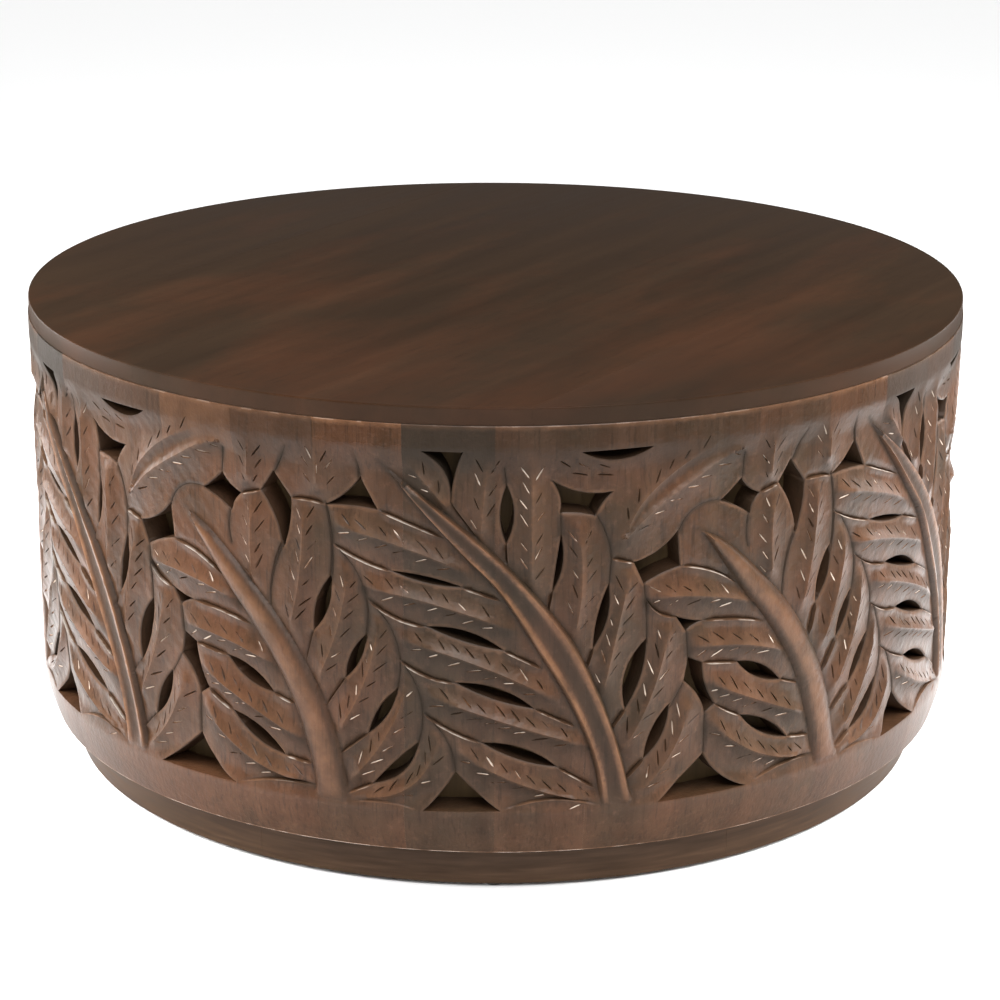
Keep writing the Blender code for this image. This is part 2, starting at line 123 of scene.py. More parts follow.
bpy.ops.mesh.primitive_cylinder_add(
    vertices=40, radius=GLIDE_RADIUS, depth=GLIDE_THICKNESS, location=(0.0, -GLIDE_CIRCLE, GLIDE_THICKNESS / 2.0)
)
glide = bpy.context.object
bpy.ops.object.transform_apply(location=True, rotation=True, scale=True)
bpy.ops.object.mode_set(mode="EDIT")
bpy.ops.mesh.select_mode(type="EDGE")
bpy.ops.mesh.select_all(action="DESELECT")
bpy.ops.mesh.edges_select_sharp(sharpness=math.radians(60.0))
bpy.ops.mesh.bevel(offset=GLIDE_EASE, segments=3, affect="EDGES")
bpy.ops.object.mode_set(mode="OBJECT")
bpy.ops.object.shade_smooth_by_angle(angle=CRISP_EDGE)
glide.data.materials.append(felt)
for number in range(1, 7):
    pad = turned_copy(glide, number)
    pad.name = f"felt_glide_{number}"
    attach(pad, "root")
    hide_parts(f"floor_glide_{number}")

# Plinth ring
# Six bandsawn segments of the same wood, stained like the wall, stand end to end under the wall
# and lap up behind it, where they are glued to the backs of the staves.
PLINTH_OUTER = 0.424
PLINTH_INNER = 0.399
PLINTH_BOTTOM = 0.0033
PLINTH_TOP = 0.0800
PLINTH_EASE = 0.0015
PLINTH_SWEEP = math.radians(59.97)
PLINTH_COLOURS = ((0.28, (0.033, 0.0180, 0.0094)), (0.52, (0.049, 0.0263, 0.0137)), (0.75, (0.067, 0.0364, 0.0190)))


def link_stretch(tree, place, scale, turn=None):
    """A place drawn out along the grain, which a turn lays askew on the flat."""
    stretch = tree.nodes.new("ShaderNodeMapping")
    if turn is not None:
        stretch.vector_type = "TEXTURE"
        stretch.inputs["Rotation"].default_value = (0.0, 0.0, turn)
    stretch.inputs["Scale"].default_value = scale
    tree.links.new(place, stretch.inputs["Vector"])
    return stretch.outputs["Vector"]


plinth_stain, tree, shader, place = new_finish("plinth_stain")
grain = link_noise(tree, link_stretch(tree, place, (1.0, 1.0, 14.0)), scale=18.0, detail=7.0)
tree.links.new(link_ramp(tree, grain, PLINTH_COLOURS), shader.inputs["Base Color"])
tree.links.new(link_range(tree, grain, 0.25, 0.75, 0.34, 0.52), shader.inputs["Roughness"])
shader.inputs["Specular IOR Level"].default_value = 0.22
link_bump(tree, shader, grain, strength=0.12, distance=0.0006)

bpy.ops.mesh.primitive_plane_add(
    size=1.0, rotation=(math.pi / 2.0, 0.0, 0.0),
    location=((PLINTH_OUTER + PLINTH_INNER) / 2.0, 0.0, (PLINTH_BOTTOM + PLINTH_TOP) / 2.0),
)
plinth = bpy.context.object
plinth.scale = (PLINTH_OUTER - PLINTH_INNER, PLINTH_TOP - PLINTH_BOTTOM, 1.0)
bpy.ops.object.transform_apply(location=True, rotation=True, scale=True)
bpy.ops.object.mode_set(mode="EDIT")
bpy.ops.mesh.select_all(action="SELECT")
bpy.ops.mesh.bevel(offset=PLINTH_EASE, segments=3, affect="VERTICES")
bpy.ops.mesh.select_all(action="SELECT")
bpy.ops.mesh.spin(steps=40, angle=PLINTH_SWEEP, center=(0.0, 0.0, 0.0), axis=(0.0, 0.0, 1.0))
bpy.ops.mesh.select_all(action="SELECT")
bpy.ops.mesh.remove_doubles(threshold=0.00001)
bpy.ops.mesh.normals_make_consistent(inside=False)
bpy.ops.object.mode_set(mode="OBJECT")
headings = [math.atan2(v.co.x, -v.co.y) for v in plinth.data.vertices]
plinth.data.transform(Matrix.Rotation(-(min(headings) + max(headings)) / 2.0, 4, "Z"))
bpy.ops.object.shade_smooth_by_angle(angle=CRISP_EDGE)
plinth.data.materials.append(plinth_stain)
for number in range(1, 7):
    segment = turned_copy(plinth, number)
    segment.name = f"plinth_piece_{number}"
    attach(segment, "root")
    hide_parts(f"plinth_segment_{number}")

# Carved staves of the drum wall
# Thirty-six staves of solid hardwood, coopered edge to edge, then carved and pierced by hand with
# fern fronds that come round six times, stained brown and lacquered, the high edges rubbed through.
DRUM_RADIUS = 457.0
WALL_BACK = 424.3
WALL_FOOT = 45.0
WALL_TOP = 440.7
FIELD_BOTTOM = 84.0
FIELD_TOP = 420.7
REPEAT_WIDTH = math.radians(60.0) * DRUM_RADIUS
FIRST_EDGE = -20.0
STAVE_DEGREES = 10.0
SEAM = 0.02

# Pierced openings: corners in turn to the left, in degrees round the wall and millimetres above
# the floor, each with the outward bow of the side that follows it.
OPENINGS = (
    ((-7.9, 417.5, -8.0), (-4.8, 371.0, -2.5), (-3.4, 417.5, 0.0)),
    ((9.2, 416.5, 10.0), (17.2, 418.0, 0.0)),
    ((1.25, 387.0, 5.5), (1.2, 335.0, 6.5)),
    ((6.2, 390.0, -3.0), (7.1, 361.5, -1.5), (10.9, 357.5, -1.5), (12.8, 378.0, -5.0)),
    ((7.2, 340.0, 0.5), (6.3, 291.0, 5.0)),
    ((12.55, 294.0, 3.0), (10.9, 237.0, 6.0)),
    ((17.0, 241.0, 10.0), (14.65, 178.0, 5.0)),
    ((19.8, 177.0, 5.0), (16.95, 129.0, 6.5)),
    ((15.4, 312.5, 0.0), (16.55, 292.5, -1.5), (20.8, 305.0, 0.0), (20.4, 337.0, -4.0)),
    ((20.5, 258.5, 0.0), (21.65, 244.5, -1.0), (23.5, 251.5, -1.0)),
    ((22.1, 218.5, 0.0), (21.6, 197.0, -3.5), (24.3, 164.5, 0.0), (25.5, 171.0, -3.0), (23.8, 212.0, 0.0)),
    ((28.4, 207.0, 6.0), (34.4, 180.7, 6.0)),
    ((29.0, 155.0, 6.0), (35.7, 123.0, 6.0)),
    ((18.4, 87.5, 0.0), (29.6, 88.5, -6.0), (24.2, 125.0, -1.0)),
    ((-7.9, 87.0, 0.0), (0.7, 88.5, -2.0), (-4.3, 123.0, -2.0)),
    ((25.6, 359.5, -1.5), (29.4, 344.0, -2.0), (30.7, 361.0, -2.2), (28.2, 377.0, -0.5)),
    ((34.9, 386.0, 0.0), (33.3, 367.0, -4.0), (36.0, 317.5, 2.5), (37.05, 364.0, 0.0)),
    ((45.2, 389.0, -3.0), (41.2, 362.0, -1.5), (47.1, 361.5, 0.0)),
    ((41.6, 297.0, 5.5), (39.6, 246.0, 6.5)),
    ((45.7, 246.0, 5.0), (43.3, 205.0, 4.5)),
    ((49.2, 198.0, 4.5), (45.9, 155.0, 5.0)),
    ((51.5, 149.0, 1.5), (46.4, 107.5, 10.0)),
    ((-11.2, 306.5, 3.0), (-3.7, 295.0, 2.5)),
    ((-7.3, 257.5, 2.5), (0.9, 237.5, 7.0)),
    ((-4.2, 206.5, 3.0), (4.3, 183.0, 7.5)),
    ((-1.3, 151.0, 4.0), (6.9, 127.5, 7.0)),
)

# Midribs of the leaflets, from tip to root, with the bow to the right of that way.
MIDRIBS = (
    (-17.3, 345.0, -3.4, 310.5, -4.0),
    (-14.5, 292.0, 1.6, 258.0, -5.0),
    (-9.5, 244.0, 6.5, 193.0, -5.5),
    (-6.8, 194.0, 9.6, 149.0, 0.0),
    (-3.5, 141.0, 11.5, 93.0, 6.0),
    (-8.8, 402.0, -5.0, 366.0, 0.0),
    (-0.8, 410.0, -1.6, 338.0, 0.0),
    (4.0, 405.0, 4.0, 297.0, 0.0),
    (9.0, 348.0, 8.7, 250.0, -5.0),
    (14.7, 300.0, 12.1, 202.0, 0.0),
    (19.3, 248.0, 14.7, 146.0, -6.0),
    (21.9, 170.0, 16.0, 97.0, -7.0),
    (17.3, 280.0, 30.2, 261.5, -5.0),
    (22.9, 229.0, 34.6, 209.0, -5.0),
    (25.0, 192.0, 38.0, 143.0, 1.0),
    (25.3, 153.0, 39.5, 101.0, 13.0),
    (32.4, 356.0, 32.4, 284.0, 2.0),
    (38.7, 357.0, 36.9, 247.0, -4.0),
    (43.8, 303.0, 40.2, 203.0, -5.0),
    (47.2, 258.0, 42.5, 156.0, -7.0),
    (50.4, 207.0, 44.0, 112.0, -8.0),
    (53.8, 155.0, 44.5, 95.0, -20.0),
    (32.1, 412.0, 31.8, 374.0, 0.0),
    (40.3, 412.0, 40.4, 376.0, 0.0),
)

# Step cuts, where the edge of one leaflet stands above its neighbour: the last number says which
# side stands up, 1 the right and -1 the left of the way the cut is drawn.
STEP_CUTS = (
    (-18.2, 328.0, -11.2, 306.5, 2.5, 1),
    (-3.7, 295.0, 0.6, 283.4, 0.0, 1),
    (-14.2, 280.4, -7.3, 257.5, 5.0, 1),
    (0.9, 237.5, 5.2, 220.1, 0.0, 1),
    (-10.7, 226.7, -4.2, 206.5, 4.5, 1),
    (4.3, 183.0, 9.0, 164.7, 0.0, 1),
    (-8.0, 177.6, -1.3, 151.0, 3.0, 1),
    (6.9, 127.5, 11.3, 105.5, 0.0, 1),
    (-12.9, 361.5, -5.6, 339.2, 0.0, 1),
    (39.6, 246.0, 38.6, 216.0, 0.0, -1),
    (43.3, 205.0, 40.9, 176.0, 0.0, -1),
    (45.9, 155.0, 42.5, 132.6, 0.0, -1),
    (46.4, 107.5, 43.4, 96.7, 0.0, -1),
    (-4.8, 371.0, -1.9, 339.6, 0.0, -1),
    (1.2, 335.0, 1.32, 316.0, 0.0, -1),
    (6.3, 291.0, 5.8, 272.2, 0.0, -1),
    (10.9, 237.0, 10.15, 218.2, 0.0, -1),
    (14.65, 178.0, 13.0, 159.6, 0.0, -1),
    (16.95, 129.0, 14.7, 110.7, 0.0, -1),
    (12.8, 318.0, 15.4, 312.5, 0.0, 1),
    (16.8, 279.0, 20.5, 258.5, 5.0, 1),
    (20.8, 305.0, 27.9, 281.7, -4.5, 1),
    (23.5, 251.5, 31.7, 240.8, -2.5, 1),
    (23.8, 212.0, 28.4, 207.0, 0.0, 1),
    (34.4, 180.7, 37.0, 173.3, 0.0, 1),
    (25.5, 171.0, 29.0, 155.0, 1.0, 1),
    (35.7, 123.0, 39.1, 118.9, 0.0, 1),
    (30.7, 361.0, 33.3, 367.0, 0.0, 1),
    (37.05, 364.0, 41.2, 362.0, -1.5, 1),
    (0.6, 88.5, 11.8, 90.0, -9.0, 1),
    (52.1, 86.5, 43.9, 90.0, 4.0, -1),
    (29.6, 88.5, 39.6, 99.0, -5.0, 1),
)

# Gouged channels between leaflets, which run out of the openings, with the width at each end.
CHANNELS = (
    (-18.8, 364.0, -18.4, 290.0, -4.0, 3.0, 4.0),
    (-17.9, 328.0, -14.4, 240.0, -14.0, 1.2, 3.2),
    (-13.9, 280.0, -11.0, 192.0, -14.0, 1.2, 3.0),
    (-10.4, 226.0, -8.7, 143.0, -12.0, 1.2, 2.6),
    (-7.7, 177.0, -4.3, 119.0, -7.0, 1.2, 2.0),
    (36.0, 322.0, 34.3, 262.0, 4.0, 4.5, 2.0),
    (29.4, 348.0, 29.3, 314.0, 2.5, 3.0, 2.0),
    (24.3, 168.0, 24.2, 121.0, 0.0, 2.5, 2.5),
    (21.65, 248.0, 22.1, 214.0, 0.0, 2.0, 2.2),
    (17.0, 237.0, 16.55, 296.0, 1.0, 2.0, 2.5),
    (12.55, 290.0, 12.8, 319.0, 0.0, 2.0, 2.2),
    (12.8, 318.0, 10.8, 361.0, 3.0, 2.2, 2.0),
    (7.1, 364.0, 7.2, 336.0, 0.0, 2.0, 2.4),
    (20.4, 334.0, 25.9, 360.0, -11.0, 2.5, 1.2),
    (45.2, 385.0, 44.7, 418.0, 0.0, 4.0, 1.2),
    (34.9, 382.0, 36.8, 412.0, 0.0, 3.0, 0.8),
    (28.2, 373.0, 28.5, 400.0, 0.0, 1.6, 0.8),
    (1.25, 383.0, 1.0, 402.0, 0.0, 1.6, 0.8),
    (19.8, 173.0, 21.7, 199.0, 0.0, 1.6, 1.6),
)

# The two stems of a repeat: left and right edge from foot to tip, the depth across the stem, and how
# much of it is rubbed on the high parts and painted dark as shade in the hollows.
STEMS = (
    (
        ((11.9, 91.0), (10.9, 134.5), (8.4, 184.5), (4.6, 237.0), (0.5, 289.5), (-4.2, 329.5), (-12.7, 406.0)),
        ((15.6, 91.0), (14.1, 139.0), (11.9, 190.0), (8.6, 244.5), (3.9, 293.0), (-2.0, 339.5), (-12.7, 406.0)),
        (
            (0.0, 5.2), (0.06, 1.5), (0.13, 0.0), (0.20, 0.2), (0.32, 2.1), (0.5, 2.5),
            (0.66, 2.0), (0.80, 0.2), (0.87, 0.0), (0.94, 1.5), (1.0, 5.2),
        ),
        0.8, 0.55,
    ),
    (
        ((39.9, 91.0), (38.5, 139.5), (36.0, 193.0), (31.8, 244.5), (28.2, 279.5), (24.2, 325.0), (22.8, 337.5)),
        ((43.7, 91.0), (42.2, 147.0), (39.9, 195.0), (36.2, 242.5), (32.2, 279.5), (26.8, 320.0), (22.8, 337.5)),
        ((0.0, 5.2), (0.10, 2.6), (0.25, 0.8), (0.45, 0.0), (0.6, 0.1), (0.8, 1.2), (0.92, 2.8), (1.0, 5.2)),
        0.45, 0.3,
    ),
)

# The sprig between two fronds has a wide midrib: two ridges, from root to tip, and a channel between.
SPRIG_UPPER = ((13.9, 334.5), (15.0, 354.5), (16.2, 369.5), (18.4, 386.0), (21.2, 401.0), (24.4, 413.0))
SPRIG_LOWER = ((14.2, 336.0), (16.85, 357.0), (19.4, 372.0), (22.5, 387.0), (25.6, 401.0), (28.1, 406.0))
SPRIG_CHANNEL = 2.6

LEAF_TOP = 0.6
LEAF_FALL = 5.3
LEAF_CURVE = 2.0
RIB_SOFT = 4.0
RIB_END = 0.18
CHANNEL_DEPTH = 7.6
CHANNEL_SLOPE = 1.1
STEP_ACROSS = ((-7.0, 0.0), (-1.2, 1.3), (-0.2, 2.6), (0.7, -1.8), (1.7, -1.5), (7.0, 0.0))
STEM_WIDTH = 16.0
SLIM_STEM_DEPTH = 0.8
EDGE_EASE = 1.2
EDGE_DROP = 1.0
LIT_WAY = np.array((0.45, 0.89))
TURNS = (-1, 0, 1)
FILL_GAP = 2.5
LINE_GAP = 2.2
FINE_GAP = 0.5


def on_wall(degrees, height):
    """A drawn place on the unrolled wall."""
    return np.array((math.radians(degrees) * DRUM_RADIUS, height))


def stroke(start, end, bow, gap=LINE_GAP):
    """Points along a drawn stroke that bows to the right of its way."""
    along = end - start
    length = math.hypot(*along)
    right = np.array((along[1], -along[0])) / length
    share = np.linspace(0.0, 1.0, max(3, math.ceil(length / gap)) + 1)[:, None]
    return start + along * share + right * (4.0 * bow * share * (1.0 - share))


def sweep(places, gap=LINE_GAP):
    """Points along a smooth curve through the drawn places."""
    knots = np.array([on_wall(*place) for place in places])
    knots = np.concatenate(([2.0 * knots[0] - knots[1]], knots, [2.0 * knots[-1] - knots[-2]]))
    points = []
    for n in range(1, len(knots) - 2):
        a, b, c, d = knots[n - 1 : n + 3]
        steps = max(2, math.ceil(math.hypot(*(c - b)) / gap))
        for t in np.arange(steps) / steps:
            points.append(0.5 * (
                2.0 * b + (c - a) * t + (2.0 * a - 5.0 * b + 4.0 * c - d) * t * t + (3.0 * b - a - 3.0 * c + d) * t ** 3
            ))
    points.append(knots[-2])
    return np.array(points)


def rights(line):
    """The direction to the right of a line at each of its points."""
    along = np.gradient(line, axis=0)
    along /= np.maximum(np.hypot(along[:, 0], along[:, 1]), 1e-9)[:, None]
    return np.stack((along[:, 1], -along[:, 0]), axis=1)


def beside(line, offset):
    """A line that runs beside another, offset to its right."""
    return line + rights(line) * np.reshape(offset, (-1, 1))


def dense(line, gap=FINE_GAP):
    """The same line with its points close together."""
    lengths = np.concatenate(([0.0], np.cumsum(np.hypot(*np.diff(line, axis=0).T))))
    wanted = np.linspace(0.0, lengths[-1], max(2, math.ceil(lengths[-1] / gap)) + 1)
    return np.stack([np.interp(wanted, lengths, line[:, k]) for k in (0, 1)], axis=1)


class Lines:
    """Drawn lines kept as close points, so that the nearest one is quickly found."""

    def __init__(self, lines, widths=None):
        fine = [dense(line) for line in lines]
        self.points = np.concatenate(fine)
        self.right = np.concatenate([rights(line) for line in fine])
        self.share = np.concatenate([np.linspace(0.0, 1.0, len(line)) for line in fine])
        ends = widths or [(0.0, 0.0)] * len(fine)
        self.half = np.concatenate([np.linspace(a, b, len(line)) / 2.0 for line, (a, b) in zip(fine, ends)])
        self.tree = KDTree(len(self.points))
        for index, (x, y) in enumerate(self.points):
            self.tree.insert((x, y, 0.0), index)
        self.tree.balance()

    def find(self, points):
        """The nearest line point to each place, how far away the line is and on which side."""
        index = np.array([self.tree.find((x, y, 0.0))[1] for x, y in points])
        away = points - self.points[index]
        side = (away * self.right[index]).sum(1)
        apart = np.hypot(away[:, 0], away[:, 1])
        onward = np.sqrt(np.maximum(apart ** 2 - side ** 2, 0.0))
        apart = np.where(onward < 0.3, np.abs(side), apart)
        return index, apart, side


def inside(points, outline):
    """Which places lie inside a closed outline."""
    found = np.zeros(len(points), bool)
    box = ((points > outline.min(0)) & (points < outline.max(0))).all(1)
    x, y = points[box].T
    odd = np.zeros(len(x), bool)
    for (ax, ay), (bx, by) in zip(outline, np.roll(outline, -1, axis=0)):
        if ay != by:
            odd ^= ((ay > y) != (by > y)) & (x < (bx - ax) * (y - ay) / (by - ay) + ax)
    found[box] = odd
    return found


def round_the_drum(lines):
    """The drawn lines with those of the repeats to the left and right."""
    return [line + np.array((turn * REPEAT_WIDTH, 0.0)) for turn in TURNS for line in lines]


outlines = []
for corners in OPENINGS:
    sides = []
    for (x, z, bow), (next_x, next_z, _) in zip(corners, corners[1:] + corners[:1]):
        sides.append(stroke(on_wall(x, z), on_wall(next_x, next_z), bow)[:-1])
    outlines.append(np.concatenate(sides))
outlines = round_the_drum(outlines)
cut_lines = round_the_drum([stroke(on_wall(a, b), on_wall(c, d), bow) for a, b, c, d, bow, _ in STEP_CUTS])
cut_sides = [side for *_, side in STEP_CUTS] * len(TURNS)
channel_lines = round_the_drum([stroke(on_wall(a, b), on_wall(c, d), bow) for a, b, c, d, bow, _, _ in CHANNELS])
channel_widths = [(first, last) for *_, first, last in CHANNELS] * len(TURNS)
stem_lefts = round_the_drum([sweep(left) for left, *_ in STEMS])
stem_rights = round_the_drum([sweep(right) for _, right, *_ in STEMS])
stem_looks = [(np.array(shape), wear_and_highlight, dark) for _, _, shape, wear_and_highlight, dark in STEMS] * len(TURNS)
stem_outlines = [np.concatenate((right, left[::-1])) for left, right in zip(stem_lefts, stem_rights)]
midribs = []
for a, b, c, d, bow in MIDRIBS:
    line = stroke(on_wall(a, b), on_wall(c, d), bow)
    onward = (line[-1] - line[-2]) / math.hypot(*(line[-1] - line[-2]))
    ahead = line[-1] + onward * np.arange(1.0, 17.0)[:, None]
    met = np.any([inside(ahead, outline) for outline in stem_outlines], axis=0)
    midribs.append(np.concatenate((line, ahead[1 : met.argmax() + 2 : 2])) if met.any() else line)
sprig_upper, sprig_lower = sweep(SPRIG_UPPER), sweep(SPRIG_LOWER)
rib_lines = round_the_drum(midribs + [sprig_upper[::-1], sprig_lower[::-1]])
sprig_uppers, sprig_lowers = round_the_drum([sprig_upper]), round_the_drum([sprig_lower])
channel_halves = [np.linspace(*ends, len(line)) / 2.0 for line, ends in zip(channel_lines, channel_widths)]
channel_rims = [beside(line, half * hand) for line, half in zip(channel_lines, channel_halves) for hand in (1.0, -1.0)]

closed = [np.concatenate((line, line[:1])) for line in outlines]
openings_found = Lines(closed)
ribs_found = Lines(rib_lines)
cuts_found = Lines(cut_lines)
channels_found = Lines(channel_lines, channel_widths)
borders_found = Lines(closed + cut_lines + channel_rims + stem_lefts + stem_rights)
cut_rise = np.concatenate([np.full(len(dense(line)), side) for line, side in zip(cut_lines, cut_sides)])
stem_finders = [(Lines([left]), Lines([right])) for left, right in zip(stem_lefts, stem_rights)]
sprig_finders = [(Lines([upper]), Lines([lower])) for upper, lower in zip(sprig_uppers, sprig_lowers)]
sprig_outlines = [np.concatenate((lower, upper[::-1])) for upper, lower in zip(sprig_uppers, sprig_lowers)]


def smooth_step(value, low, high):
    """A soft rise from nought to one."""
    share = np.clip((value - low) / (high - low), 0.0, 1.0)
    return share * share * (3.0 - 2.0 * share)


def unit(value):
    """A value held between nought and one."""
    return np.clip(value, 0.0, 1.0)


def fade(distance, reach):
    """One on a line, and next to nothing at twice the reach from it."""
    return np.exp(-((distance / reach) ** 2))


# The finish is rubbed pale on ribs, lips and edges. A highlight is painted on the flanks and lips that
# face the light, and shade is painted into the hollows and onto the flanks that face away from it: how
# much of each, and for some how far it reaches in millimetres.
RIB_RUB, RIB_RUB_REACH = 0.22, 2.0
LIT_FLANK_SHEEN, LIT_FLANK_SHEEN_REACH = 0.16, 9.0
BORDER_PAINTED_SHADE, BORDER_PAINTED_SHADE_REACH = 0.55, 2.2
FLANK_PAINTED_SHADE, FLANK_PAINTED_SHADE_REACH = 0.6, 12.0
STEP_RUB, LIT_LIP_HIGHLIGHT = 0.6, 1.2
STEP_PAINTED_SHADE = 0.6
CHANNEL_PAINTED_SHADE = 0.75
OPENING_RUB = 0.6
FOOT_RUB = 0.10
chance = random.Random(11)
waves = [
    (chance.randint(6, 40), chance.uniform(0.02, 0.09), chance.uniform(0.0, 6.3), chance.uniform(0.0, 6.3))
    for _ in range(14)
]


def carve(points):
    """How deep the carving is at each place, how much rub and painted highlight, and how much painted shade its surface
    takes.
    """
    index, to_rib, _ = ribs_found.find(points)
    _, to_border, _ = borders_found.find(points)
    away = points - ribs_found.points[index]
    lit = (away * LIT_WAY).sum(1) / np.maximum(np.hypot(away[:, 0], away[:, 1]), 0.5)
    along = ribs_found.share[index]
    ends = np.maximum(unit(1.0 - along / RIB_END), unit((along - (1.0 - RIB_END)) / RIB_END))
    to_rib = np.hypot(to_rib, RIB_SOFT * ends)
    share = to_rib / (to_rib + to_border + 1e-6)
    depth = LEAF_TOP + LEAF_FALL * (1.0 - (1.0 - share) ** LEAF_CURVE)
    # The rib crest is rubbed, and the flank that faces the light gets a painted sheen.
    rub_and_highlight = RIB_RUB * fade(to_rib, RIB_RUB_REACH) + LIT_FLANK_SHEEN * unit(lit) * fade(to_rib, LIT_FLANK_SHEEN_REACH)
    # Shade is painted along every border and on the flank that faces away from the light.
    painted_shade = BORDER_PAINTED_SHADE * fade(to_border, BORDER_PAINTED_SHADE_REACH)
    painted_shade = painted_shade + FLANK_PAINTED_SHADE * unit(-lit) * fade(to_rib, FLANK_PAINTED_SHADE_REACH)

    index, apart, side = cuts_found.find(points)
    ends = unit(5.0 * np.minimum(cuts_found.share[index], 1.0 - cuts_found.share[index]))
    raised = np.sign(side) * apart * cut_rise[index]
    across, drops = np.array(STEP_ACROSS).T
    depth = depth + np.interp(raised, across, drops) * ends
    # The raised lip is rubbed, and painted pale as a highlight where it faces the light; the low side below the step
    # gets painted shade.
    lip = unit(-cut_rise[index] * (cuts_found.right[index] * LIT_WAY).sum(1))
    rub_and_highlight = rub_and_highlight + (STEP_RUB + LIT_LIP_HIGHLIGHT * lip) * fade(raised - 0.7, 0.5) * ends
    painted_shade = np.maximum(painted_shade, STEP_PAINTED_SHADE * fade(raised + 0.4, 0.5) * ends)

    index, apart, _ = channels_found.find(points)
    half = channels_found.half[index]
    gouged = unit((half - apart) / np.minimum(CHANNEL_SLOPE, half))
    floor = depth + (CHANNEL_DEPTH - depth) * np.clip(half / 2.2, 0.3, 1.0)
    depth = depth + (floor - depth) * gouged
    # The gouged channels are painted dark as shade.
    painted_shade = np.maximum(painted_shade, CHANNEL_PAINTED_SHADE * gouged)

    for outline, (left_edge, right_edge), (shape, wear_and_highlight, dark) in zip(stem_outlines, stem_finders, stem_looks):
        held = inside(points, outline)
        if held.any():
            _, to_left, _ = left_edge.find(points[held])
            _, to_right, _ = right_edge.find(points[held])
            width = to_left + to_right
            fall = np.interp(to_left / np.maximum(width, 1e-6), shape[:, 0], shape[:, 1])
            slim = np.clip(width / STEM_WIDTH, 0.2, 1.0)
            rise = unit(np.minimum(to_left, to_right) / np.clip(0.3 * width, 0.4, 1.6)) * smooth_step(width, 1.0, 6.0)
            bed = LEAF_TOP + LEAF_FALL
            depth[held] = bed + (fall * slim + (1.0 - slim) * SLIM_STEM_DEPTH - bed) * rise
            rub_and_highlight[held] = wear_and_highlight * fade(fall, 1.0) * rise
            # The deeper parts of each stem are painted dark as shade.
            painted_shade[held] = dark * unit((fall - 0.8) / 1.4)

    for outline, (upper_edge, lower_edge) in zip(sprig_outlines, sprig_finders):
        held = inside(points, outline)
        if held.any():
            _, to_upper, _ = upper_edge.find(points[held])
            _, to_lower, _ = lower_edge.find(points[held])
            across = to_upper / np.maximum(to_upper + to_lower, 1e-6)
            wide = unit((to_upper + to_lower) / 10.0)
            depth[held] = LEAF_TOP + SPRIG_CHANNEL * wide * np.sin(math.pi * across) ** 0.8

    _, to_opening, _ = openings_found.find(points)
    ease = unit(1.0 - to_opening / EDGE_EASE)
    depth = depth + EDGE_DROP * ease * ease
    rub_and_highlight = rub_and_highlight + OPENING_RUB * fade(to_opening - EDGE_EASE, 0.8)

    x, y = points[:, 0], points[:, 1]
    uneven = np.zeros(len(points))
    for count, size, first, second in waves:
        uneven += size * np.sin(2.0 * math.pi * count * x / REPEAT_WIDTH + first) * np.sin(count * y / 95.0 + second)
    field = smooth_step(y, FIELD_BOTTOM - 1.0, FIELD_BOTTOM + 24.0)
    field = field * (1.0 - smooth_step(y, FIELD_TOP - 26.0, FIELD_TOP + 1.0))
    depth = np.maximum(depth + uneven, 0.0) * field
    painted_shade = unit(painted_shade) * field
    rub_and_highlight = np.clip(rub_and_highlight, 0.0, 2.0) * field
    rub_and_highlight = rub_and_highlight + FOOT_RUB * (1.0 - smooth_step(y, FIELD_BOTTOM - 20.0, FIELD_BOTTOM + 20.0))
    return depth, rub_and_highlight, painted_shade


# Short slanting nicks of a veining gouge on both flanks of each leaflet, pointing to its tip, and a
# few looser strokes by eye on the hanging tips.
LOOSE_NICKS = (
    (30.6, 397.0, 31.4, 388.0), (33.6, 396.0, 32.7, 386.0), (31.0, 382.0, 31.5, 374.0),
    (33.0, 381.0, 32.4, 373.0), (32.0, 406.0, 32.0, 396.0), (38.5, 404.0, 39.4, 395.0),
    (38.7, 389.0, 39.6, 381.0), (42.2, 404.0, 41.3, 394.0), (42.4, 389.0, 41.4, 380.0),
    (40.4, 400.0, 40.4, 388.0), (6.9, 409.0, 8.2, 402.0), (8.9, 406.0, 10.3, 400.0),
    (11.2, 404.0, 12.6, 399.5), (8.2, 397.0, 10.2, 394.0), (11.0, 394.5, 13.0, 393.0),
)
NICK_GAP = 17.5
NICK_LENGTH = (11.0, 17.0)
NICK_HALF_WIDTH = (0.75, 1.15)
NICK_DEPTH = (0.9, 1.8)
